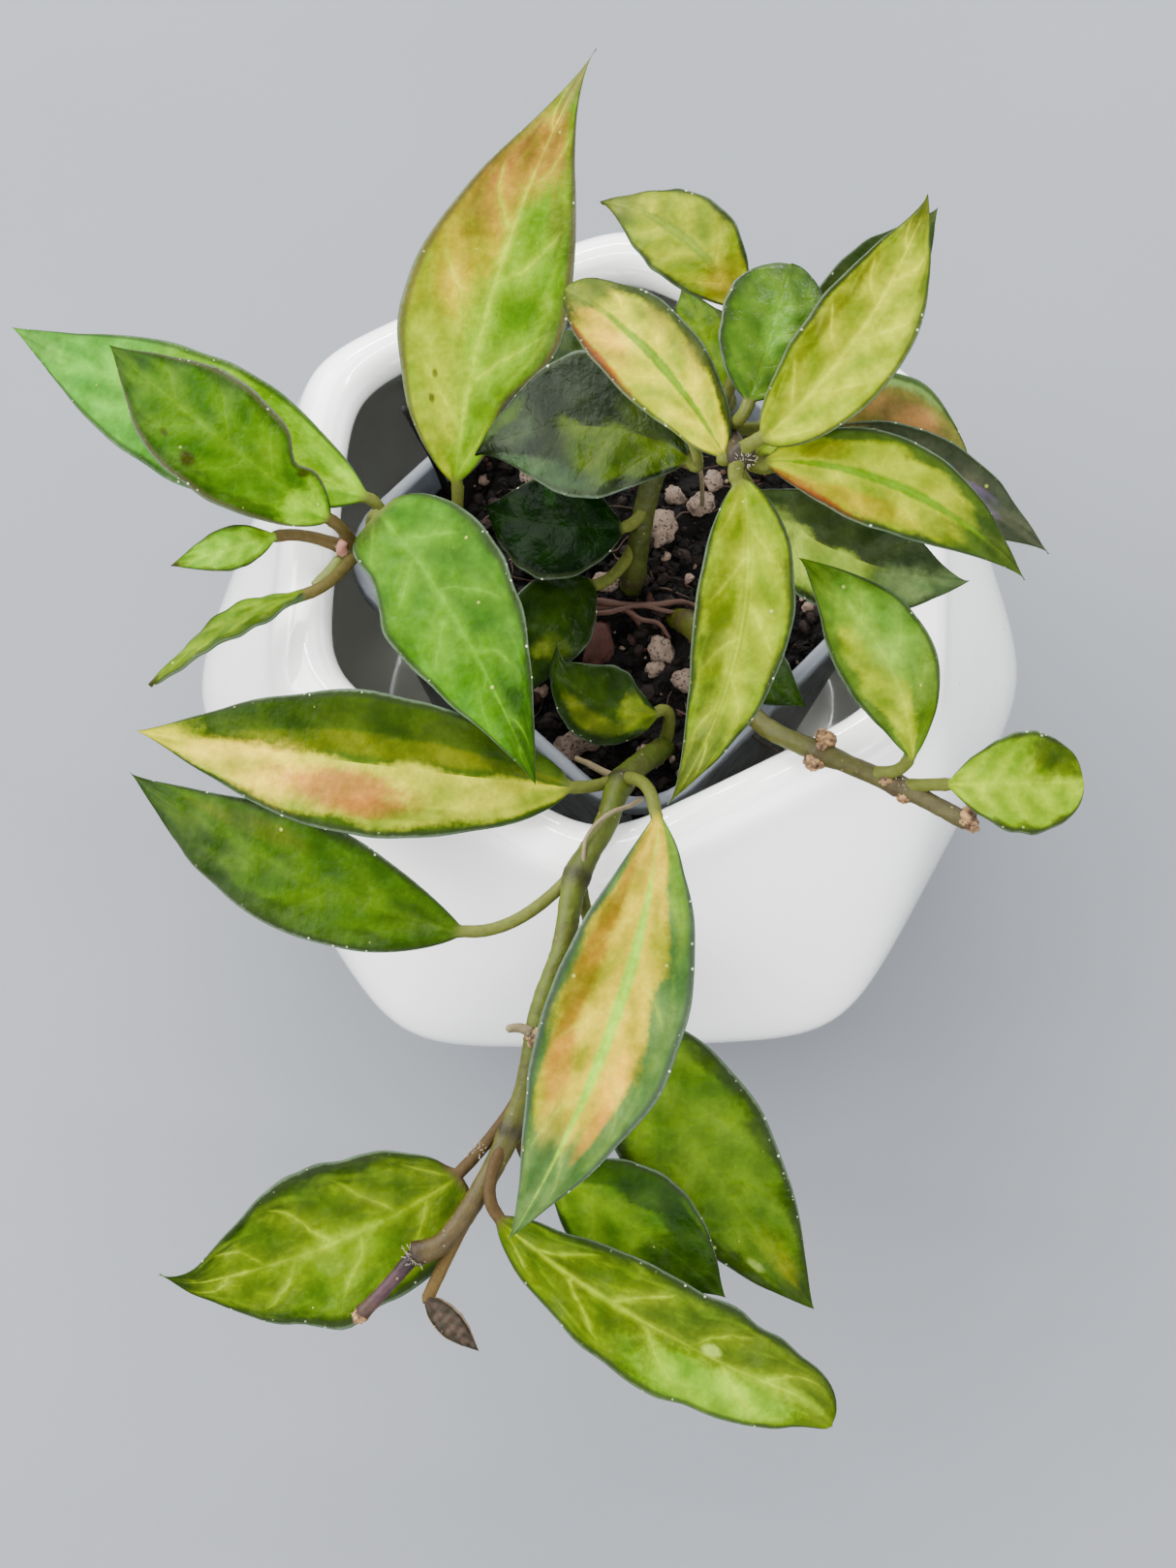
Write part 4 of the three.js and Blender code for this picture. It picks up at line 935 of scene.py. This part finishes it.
def wander(given, scale, detail):  # a slow wobble about 0, drawn out across the blade
    return grain(stretched(given["Place"], (2.6, 1.0, 0.0)), scale, detail, given["Seed"]) - 0.5


def fray(group, given):  # a fine wobble, for a ragged edge
    return grain(objectPlace(group), 800.0, 3.0, given["Seed"]) - 0.5


def veinPhase(share, side, across, wobble):  # a whole number at each side vein
    lean = across ** veinSizes["curve"] * veinSizes["slant"]
    return share * veinSizes["count"] - lean + (side > 0.0) * veinSizes["offset"] + wobble * 0.35


def buildZone():  # the pale middle of the blade against its dark margin
    group, given, out = newGroup("leafZone", {
        **placeInputs, "Left": 0.8, "Right": 0.8, "Tip From": 0.9, "Ragged": 0.35}, {"Mask": "Float"})
    share, side = add("SeparateXYZ", {0: given["Place"]}, "X", "Y")
    across = abs(side)
    wobble = wander(given, 1.7, 4.0)
    teeth = calc("COSINE", veinPhase(share, side, across, wobble) * fullTurn) * 0.07
    reach = add("Mix", {0: side > 0.0, 2: given["Right"], 3: given["Left"]})
    shaken = across + wobble * given["Ragged"] + teeth + fray(group, given) * 0.2
    short = rise(share + wobble * 0.3 - given["Tip From"], 0.06, -0.09)
    put(out["Mask"], rise(shaken - reach, 0.08, -0.12) * short)
    return group


def buildPatch():  # one soft-edged patch: a flush or stain of the leaf's own colour, and on a few leaves painted sheen or a painted highlight
    group, given, out = newGroup("leafPatch", {
        **placeInputs, "Share": 0.5, "Side": 0.0, "Length": 0.2, "Width": 0.3, "Ragged": 0.9},
        {"Mask": "Float"})
    share, side = add("SeparateXYZ", {0: given["Place"]}, "X", "Y")
    along = (share - given["Share"]) / given["Length"]
    across = (side - given["Side"]) / given["Width"]
    far = calc("SQRT", along * along + across * across)
    far = far + wander(given, 2.6, 5.0) * given["Ragged"] + fray(group, given) * 0.7
    put(out["Mask"], rise(far, 1.25, 0.5))
    return group


def buildVeins():  # the veins, the net between them and the lit bands beside them
    group, given, out = newGroup("leafVeins", placeInputs, {"Line": "Float", "Net": "Float", "Glow": "Float"})
    share, side = add("SeparateXYZ", {0: given["Place"]}, "X", "Y")
    across = abs(side)
    wobble = wander(given, 2.2, 3.0)
    away = 0.5 - abs(calc("FRACT", veinPhase(share, side, across, wobble)) - 0.5)
    lateral = (rise(away, 0.13, 0.0) * 0.45 + rise(away, 0.04, 0.01) * 0.35) * rise(across, 0.88, 0.6)
    loop = rise(abs(across + wobble * 0.2 - (0.8 - away * away * 0.6)), 0.11, 0.0) * 0.35
    rib = rise(across, share * -0.09 + 0.16, 0.0) * 0.6 + rise(across, share * -0.02 + 0.045, 0.01) * 0.4
    ends = rise(share, 0.0, 0.08) * rise(share, 0.97, 0.8)
    faded = rise(wander(given, 3.5, 4.0) + 0.5, 0.35, 0.65) + 0.45
    put(out["Line"], calc("MULTIPLY", most(most(lateral, loop), rib) * ends, faded, clamp=True))
    cells = {"Vector": stretched(given["Place"], (9.0, 3.6, 0.0)), "W": given["Seed"], "Scale": 1.0}
    edge = add("TexVoronoi", cells, "Distance", voronoi_dimensions="4D", feature="DISTANCE_TO_EDGE")
    patchy = rise(wander(given, 5.0, 4.0) + 0.5, 0.45, 0.7)
    put(out["Net"], rise(edge, 0.2, 0.0) * patchy * ends)
    beside = rise(away, 0.46, 0.06) * rise(across, 1.0, 0.45)
    put(out["Glow"], most(beside, rise(across, 0.3, 0.02)))
    return group


def buildSkin():  # what every leaf shares: mottle, flecks, dust, edge line, underside and petiole
    group, given, out = newGroup("leafSkin", {
        **placeInputs, "Colour": "Color", "Petiole": "Color", "Under": "Color", "Edge": "Color",
        "Level": "Color", "Veins": 0.0, "Glow": 0.5, "Dust": 0.2, "Gloss": 0.32},
        {"Colour": "Color", "Roughness": "Float", "Height": "Float"})
    share, side, under = add("SeparateXYZ", {0: given["Place"]}, "X", "Y", "Z")
    across, spot = abs(side), objectPlace(group)
    broad, film, middling, fine = (grain(spot, scale, detail, given["Seed"]) for scale, detail in (
        (95.0, 3.0), (190.0, 5.0), (280.0, 4.0), (900.0, 2.0)))
    lit = given["Glow"] * 0.55 + rise(broad, 0.33, 0.67) * 0.5
    mottle = times(tint(lit, [0.46, 0.62, 0.42, 1.0], [1.34, 1.26, 1.0, 1.0]), given["Level"])
    mottle = tint(rise(middling, 0.35, 0.65), times(mottle, shade(0.84)), times(mottle, shade(1.16)))
    colour = times(given["Colour"], mottle)
    light = add("HueSaturation", {"Value": 1.14, "Color": colour}, "Color")
    film = rise(film, 0.52, 0.78) * given["Dust"]
    flecks = specks(spot, 420.0, 0.16, 0.07)
    frayed = across + (fine - 0.5) * 0.05
    dots = specks(spot, 1100.0, 0.3, 0.22) * rise(across, 0.9, 0.97)
    below = tint(given["Veins"] * 0.5, given["Under"], skinColours["underVein"])
    below = times(below, tint(broad, shade(0.6), shade(1.0)))
    stalk = times(given["Petiole"], tint(fine, shade(0.5), shade(1.0)))
    put(out["Colour"], layered(
        colour, (rise(fine, 0.42, 0.68), light), (film * 0.5, skinColours["dust"]),
        (flecks * 0.6, skinColours["fleck"]),
        (rise(frayed, 0.86, 0.93) * 0.75, given["Edge"]),
        # the pale line at the very edge is a painted reflection on the rounded margin
        (rise(frayed, 0.945, 0.985) * (broad * 0.7 + 0.1), skinColours["rim"]),
        (dots * 0.7, skinColours["dots"]),
        (under, below), (rise(share, 0.035, -0.005), stalk)))
    wax = given["Gloss"] + (broad - 0.5) * 0.22
    put(out["Roughness"], calc("ADD", wax, (film + under) * 0.25, clamp=True))
    put(out["Height"], given["Veins"] * -0.12 + broad * 0.9 + middling * 0.8 + fine * 0.22 + flecks * 0.3)
    return group


leafZone, leafPatch, leafVeins, leafSkin = buildZone(), buildPatch(), buildVeins(), buildSkin()


def leafMaterial(name, seed, look):
    material, tree = newMaterial(name, specular=look["shine"])
    place = mark(tree, "place", "Vector")
    own = {"Place": place, "Seed": seed}

    def patched(under, over, ownSeed, share, side, length, width, strength=1.0):
        where = {"Share": share, "Side": side, "Length": length, "Width": width}
        mask = add("Group", {"Place": place, "Seed": ownSeed, **where}, node_tree=leafPatch)
        return tint(mask * strength, under, over)

    sides = {"Left": look["left"], "Right": look["right"], "Tip From": look["tipFrom"]}
    colour = tint(add("Group", {**own, **sides}, node_tree=leafZone), look["margin"], look["middle"])
    if look["stripe"]:
        colour = patched(colour, look["stripe"], seed, 0.42, 0.0, 0.52, look["stripeWidth"])
    for k, (over, *where) in enumerate(look["patches"]):
        colour = patched(colour, over, seed + 3.1 * k + 1, *where)
    line, net, glow = add("Group", own, "Line", "Net", "Glow", node_tree=leafVeins)
    paler = look["veinColour"] or times(colour, [2.1, 1.9, 1.7, 1.0])
    colour = tint(most(line * look["veins"], net * look["net"]), colour, paler)
    skin = {key.title(): look[key] for key in ("petiole", "under", "edge", "dust", "gloss")}
    skin.update({"Colour": colour, "Level": (*look["level"], 1.0), "Veins": line, "Glow": glow})
    outputs = add("Group", {**own, **skin}, "Colour", "Roughness", "Height", node_tree=leafSkin)
    return dress(material, *outputs, 0.8, 0.0008)


def halfWidth(shape, share, side):
    rising = share < shape["widest"]
    along = share / shape["widest"] if rising else (1 - share) / (1 - shape["widest"])
    fullness = shape["baseFull" if rising else "tipFull"]
    half = shape["width"] / 2 * max(math.sin(along * math.pi / 2), 0) ** fullness
    if shape["notch"]:
        notchSide, place, depth, length = shape["notch"]
        if side * notchSide > 0:
            half *= 1 - depth * bell(share - place, length)
    return half


def bladeFrame(shape):
    base, tip = Vector(shape["base"]), Vector(shape["tip"])
    forward = (tip - base).normalized()
    up = squareTo(forward, bladeSizes["towardsLight"])
    up.rotate(Quaternion(forward, math.radians(shape["roll"])))
    return base, tip, up, up.cross(forward)


def midribPoint(shape, stand, share):
    base, tip, up, left = stand
    swell = max(math.sin(math.pi * min(max(share, 0), 1) ** 0.9), 0)
    hooked = max(0, (share - 0.86) / 0.14) ** 2
    aside = shape["bend"] * swell ** 0.75 + shape["hook"] * hooked
    return base.lerp(tip, share) + up * (shape["arch"] * swell) + left * aside


def bladeRing(shape, share, centre, left, up, seed):
    petiole, around = bladeSizes["petiole"], bladeSizes["around"]
    opened = ease(0, 0.1, share)
    ring, marks = [], []
    for k in range(around):
        angle = fullTurn * k / around
        side, over = math.cos(angle), math.sin(angle)
        leftward = 1 if side > 0 else -1
        wavy = rough((9 * share, 3 * leftward, 0), 1.0, 1.3 * seed) * shape["wavy"] * abs(side)
        half = max(halfWidth(shape, share, side) * (1 + wavy), petiole * (1 - opened))
        thick = mix(2 * petiole, mix(bladeSizes["thickness"], bladeSizes["edge"], side * side), opened)
        thick += shape["plump"] * (1 - side * side) * math.sin(math.pi * min(share, 1)) ** 0.7
        thick *= min(1, 0.25 + 9 * (1 - share))
        waving = math.sin(fullTurn * shape["waves"] * share + 2 * leftward)
        lift = (shape["cup"] * half + shape["waveHeight"] * waving * min(1, 4 * share)) * side * side
        spot = centre + left * (half * side)
        phase = veinSizes["count"] * share - veinSizes["slant"] * abs(side) ** veinSizes["curve"]
        phase += veinSizes["offset"] * (side > 0)
        quilt = bladeSizes["quilt"] * math.sin(math.pi * (phase % 1)) * (1 - side * side)
        crimp = bladeSizes["crimp"] * abs(side) ** 3 * math.sin(fullTurn * (5.3 * share + 0.37 * seed))
        uneven = 0.55 * rough(spot, 6.0, seed) + 0.16 * rough(spot, 2.2, seed)
        lift += opened * min(1, half / 4) * (quilt + crimp + uneven)
        face = (over > 1e-6) - (over < -1e-6)
        body = max(1 - abs(side) ** mix(2, 26, opened), 0) ** 0.5 * thick / 2 * face
        body *= 1 + shape["ridges"] * math.sin(8 * fullTurn * share) * ease(0.05, 0.2, share)
        opening = opened * min(1, 6 * (1 - share))
        groove = bladeSizes["groove"] * bell(half * side, bladeSizes["grooveWidth"]) * opening
        ring.append(spot + up * (lift + body - groove))
        marks.append(Vector((share, side, float(face < 0))))
    return ring, marks


def petioleRings(shape, stand, start, seed):
    base, _, _, left = stand
    firstWay = (midribPoint(shape, stand, 0.03) - base).normalized()
    bendPoint = base - firstWay * (shape["bow"] * (start - base).length)
    length = (start - bendPoint).length + (bendPoint - base).length
    rings = []
    for step in range(bladeSizes["petioleRows"]):
        t = step / bladeSizes["petioleRows"]
        centre = start * (1 - t) ** 2 + bendPoint * (2 * t * (1 - t)) + base * t ** 2
        way = (bendPoint - start) * (1 - t) + (base - bendPoint) * t
        way = way.normalized() if way.length > 1e-6 else firstWay
        across = squareTo(way, left)
        swell = 1 + 0.28 * bell(t * length, 3.2) + 0.12 * bell((1 - t) * length, 1.4)
        radius = bladeSizes["petiole"] * swell * (step > 0)
        rings.append(ringAround(centre, across, way.cross(across), radius, bladeSizes["around"], 0.05, seed))
    return rings


def buildLeaf(name, given, seed):
    family = next(key for key in familyStems if name.startswith(key))
    shape = {"stem": familyStems[family], **usualLeaf, **given}
    stand = bladeFrame(shape)
    rings = petioleRings(shape, stand, pointOn(stemPaths[shape["stem"]], shape["at"]), seed)
    rows = bladeSizes["rows"]
    marks = [[Vector((-0.02 - (1 - k / len(rings)) * 0.3, 0, 0))] * len(ring) for k, ring in enumerate(rings)]
    for x in (row / rows for row in range(rows + 1)):
        share = mix(x, 0.5 - 0.5 * math.cos(math.pi * x), 0.6)
        ahead, behind = (midribPoint(shape, stand, near) for near in (min(1, share + 0.01), share - 0.01))
        forward = (ahead - behind).normalized()
        across = squareTo(forward, stand[3])
        centre = midribPoint(shape, stand, share)
        ring, ringMarks = bladeRing(shape, share, centre, across, forward.cross(across), seed)
        rings.append(ring)
        marks.append(ringMarks)
    bm = bmesh.new()
    wrapGrid(bm, rings, marks, bm.verts.layers.float_vector.new("place"))
    slot = "brown_leaf" if name == "vineBudLeaf" else "waxy_leaf"
    finishPiece(name, bm, leafMaterial(name + "Skin", seed * 1.7, shape), slot, [nodeName(name)])


for index, (name, part) in enumerate(leaves.items()):
    buildLeaf(name, part, index + 1)
print("leaves made")


# Thin roots on the soil and the vine, two young shoots and the soil's fibres

thinRoots = {
    "airRootLong": dict(points=[(4.0, -57.5, 124.5), (1.3, -60.4, 128.3), (-1.8, -62.0, 129.6),
        (-5.1, -64.7, 130.0), (-6.8, -67.2, 129.8), (-7.2, -69.7, 129.6), (-7.4, -72.6, 128.6)], start=0.5,
        end=0.36),
    "airRootPale": dict(points=[(-8.6, -43.9, 111.5), (-5.4, -46.5, 114), (-2.3, -49.1, 116),
        (0.5, -51, 118.6)], start=0.55, end=0.85),
    "airRootStub": dict(points=[(-17, -101.5, 120.5), (-19.8, -100.7, 121), (-22.2, -101.1, 121.5)],
        start=1.1, end=0.75),
    "rootUpright": dict(points=[(19.0, 15.6, 102), (18.4, 12, 112), (17.6, 8.7, 125), (16.6, 5.6, 137),
        (14.4, 9.6, 149)], start=0.5, end=0.4),
    "rootStrandOne": dict(points=[(-8.5, -6.5, 103.6), (-3, -7.2, 105), (2.5, -8.2, 105.2),
        (8, -8.4, 105.4), (14, -7.2, 104), (19, -8.5, 102.4)], start=0.75, end=0.55),
    "rootStrandTwo": dict(points=[(-7.5, -9.0, 103.2), (-1, -9.8, 105.2), (5, -8.6, 105.8),
        (11, -9.6, 104.6), (16.5, -9.4, 102.6)], start=0.6, end=0.45),
    "rootStrandDown": dict(points=[(2.0, -9.0, 105.4), (5.5, -11.5, 105.2), (9.0, -12.0, 104.2),
        (11.5, -15, 102.6)], start=0.55, end=0.4),
}
youngShoots = {
    "leftBud": dict(points=[(-53.2, -6.8, 127.6), (-53.2, -6.2, 129.6), (-52.5, -5.7, 131.4)], start=1.25,
        end=0.85, colours=("a0806c", "d3a594")),
    "leftStub": dict(points=[(-53.6, -7.8, 127.4), (-55.6, -10.9, 128.2), (-58.6, -14.3, 128.5)],
        start=1.25, end=1.05, colours=("7d8a2c", "98a13e")),
}


def addThread(bm, points, start, end, around, pitch, ripple):
    path = pathThrough(points, 10)
    steps = max(4, math.ceil(path[1][-1] / pitch))
    rings = []
    reference = Vector((0.3, 0.2, 1))
    for step in range(steps + 1):
        share = step / steps
        way = wayOn(path, share)
        reference = squareTo(way, reference)
        radius = mix(start, end, share) * (0 if step in (0, steps) else 1)
        aside = way.cross(reference)
        rings.append(ringAround(pointOn(path, share), reference, aside, radius, around, ripple, 5.0))
    wrapGrid(bm, rings)


def rootMaterial(name, dark, pale):
    material, tree = newMaterial(name, specular=0.3)
    spot = objectPlace(tree)
    return dress(material, tint(grain(spot, 500.0, 4.0), dark, pale), grain(spot, 300.0) * 0.2 + 0.65,
                 grain(spot, 1200.0, 4.0), 0.6, 0.0004)


def shootMaterial(name, dark, pale):
    material, tree = newMaterial(name, specular=0.35)
    mottle = grain(objectPlace(tree), 700.0, 4.0)
    return dress(material, tint(mottle, dark, pale), mottle * 0.3 + 0.35, mottle, 0.5, 0.0005)


paleRoot = rootMaterial("paleRoot", "6f6148", "b3a67f")
redRoot = rootMaterial("redRoot", "54301f", "8f6450")
for name, part in thinRoots.items():
    bm = bmesh.new()
    addThread(bm, part["points"], part["start"], part["end"], 12, 0.5, 0.18)
    finishPiece(name, bm, redRoot if "Strand" in name else paleRoot, "bark")

for name, part in youngShoots.items():
    bm = bmesh.new()
    addThread(bm, part["points"], part["start"], part["end"], 14, 0.4, 0.1)
    finishPiece(name, bm, shootMaterial(name + "Skin", *part["colours"]), "green_stem")

bm = bmesh.new()
for _ in range(soil["fibres"]):
    x, y = random.uniform(-24, 30), random.uniform(-40, 30)
    way = random.uniform(0, 6.28)
    points = []
    for k in range(5):
        points.append((x, y, roughSoil(x, y) + (0.1 if k in (0, 4) else 0.7)))
        x += soil["fibreStep"] * math.cos(way)
        y += soil["fibreStep"] * math.sin(way)
        way += random.uniform(-soil["fibreTurn"], soil["fibreTurn"])
    addThread(bm, points, random.uniform(0.14, 0.3), 0.12, 6, 1.0, 0.0)
finishPiece("soilFibres", bm, barkMaterial("fibre", "35211a", "8d6c54"), "bark")
print("roots made")


# Fine white hairs at the growing points, at the spent node and along the bud

hairTufts = {
    "crown": dict(place=(22, -13.5, 176), spread=2.4, count=30, length=0.9),
    "leftNode": dict(place=(-53.5, -6.5, 128.5), spread=2.2, count=30, length=0.8),
    "vineNode": dict(place=(-28, -121, 109.5), spread=2.6, count=26, length=0.8),
    "frontNode": dict(place=(1, -53.5, 124.5), spread=2.2, count=16, length=0.7),
    "nubNode": dict(place=(-16.5, -101.5, 121.5), spread=2.4, count=24, length=0.7),
    "rightNode": dict(place=(52.5, -56.5, 129), spread=2.2, count=14, length=0.8),
    "vineEnd": dict(place=(-39.5, -139.5, 105.6), spread=3.0, count=70, length=1.1),
    "stalkEnd": dict(place=(-50, -149.3, 98.6), spread=2.0, count=50, length=0.9),
    "budLeaf": dict(place=(-34, -150, 100.0), spread=3.6, count=40, length=0.7),
}

hairColours = ("9a9484", "dcd8cb")


def hairMaterial():
    material, tree = newMaterial("whiteHair", specular=0.3)
    return dress(material, tint(grain(objectPlace(tree), 400.0), *hairColours), 0.7)


bm = bmesh.new()
for tuft in hairTufts.values():
    for _ in range(tuft["count"]):
        out = Vector([random.gauss(0, 1) for _ in range(3)]).normalized()
        out.z = abs(out.z)
        root = Vector(tuft["place"]) + out * Vector((1, 1, 0.35)) * tuft["spread"] * random.uniform(0.3, 0.95)
        lean = upright.rotation_difference((out + scatter(0.5)).normalized())
        bmesh.ops.create_cone(bm, cap_ends=True, segments=3, radius1=0.07, radius2=0.015,
                              depth=tuft["length"] * random.uniform(0.5, 1.0),
                              matrix=Matrix.Translation(root) @ lean.to_matrix().to_4x4())
finishPiece("fineHairs", bm, hairMaterial(), "green_stem")
print("hairs made")


# Stage: pale floor, soft light

studio = {
    "floor": 3.0, "floorTones": ("a5a7ab", "afb1b5"), "sky": (0.93, 0.96, 1.0, 1), "world": 3.6,
    "dimWay": (0.0, -0.36, 0.93), "dimBy": 0.35,
    "aim": (0, 0, 0.1), "lights": {
        "keyPanel": dict(place=(-1.7, 0.7, 1.7), size=(3.0, 2.4), power=205.0),
        "frontFill": dict(place=(0.5, -2.0, 1.4), size=(3.0, 1.6), power=70.0),
        "leftFill": dict(place=(-2.2, -0.4, 0.9), size=(1.6, 1.0), power=28.0),
        "stripeBack": dict(place=(-0.1, 1.35, 0.95), size=(1.1, 0.06), power=26.0),
        "stripeNear": dict(place=(0.1, 0.5, 1.5), size=(0.9, 0.03), power=9.0),
    },
}


def floorMaterial(look):
    material, tree = newMaterial("paleFloor", specular=0.2)
    spot = objectPlace(tree)
    colour = tint(grain(spot, 6.0, 4.0), *look["floorTones"])
    return dress(material, colour, 0.85, grain(spot, 900.0), 0.15, 0.0004)


def addFloor(look):
    bm = bmesh.new()
    bmesh.ops.create_grid(bm, x_segments=1, y_segments=1, size=look["floor"],
                          matrix=Matrix.Translation((0, 0, -0.0003)))
    mesh = bpy.data.meshes.new("floor")
    bm.to_mesh(mesh)
    bm.free()
    mesh.materials.append(floorMaterial(look))
    addObject("floor", mesh)


def addSky(look):
    world = bpy.data.worlds.new("softSky")
    world.use_nodes = True
    sky = world.node_tree.nodes["Background"].inputs
    put(sky["Color"], look["sky"])
    way = add("TexCoord", {}, "Generated", tree=world.node_tree)
    near = add("VectorMath", {0: way, 1: look["dimWay"]}, "Value", operation="DOT_PRODUCT")
    dim = rise(near, 0.72, 0.92) * look["dimBy"]  # the glossy leaves mirror this part
    put(sky["Strength"], (1.0 - dim) * look["world"])
    bpy.context.scene.world = world


def addLamp(name, light, aim):
    lamp = bpy.data.lights.new(name, "AREA")
    lamp.shape = "RECTANGLE"
    lamp.size, lamp.size_y = light["size"]
    lamp.energy = light["power"]
    place = Vector(light["place"])
    turn = (place - Vector(aim)).to_track_quat("Z", "Y").to_matrix().to_4x4()
    addObject(name, lamp, Matrix.Translation(place) @ turn)


addFloor(studio)
addSky(studio)
for name, light in studio["lights"].items():
    addLamp(name, light, studio["aim"])
print("stage made")
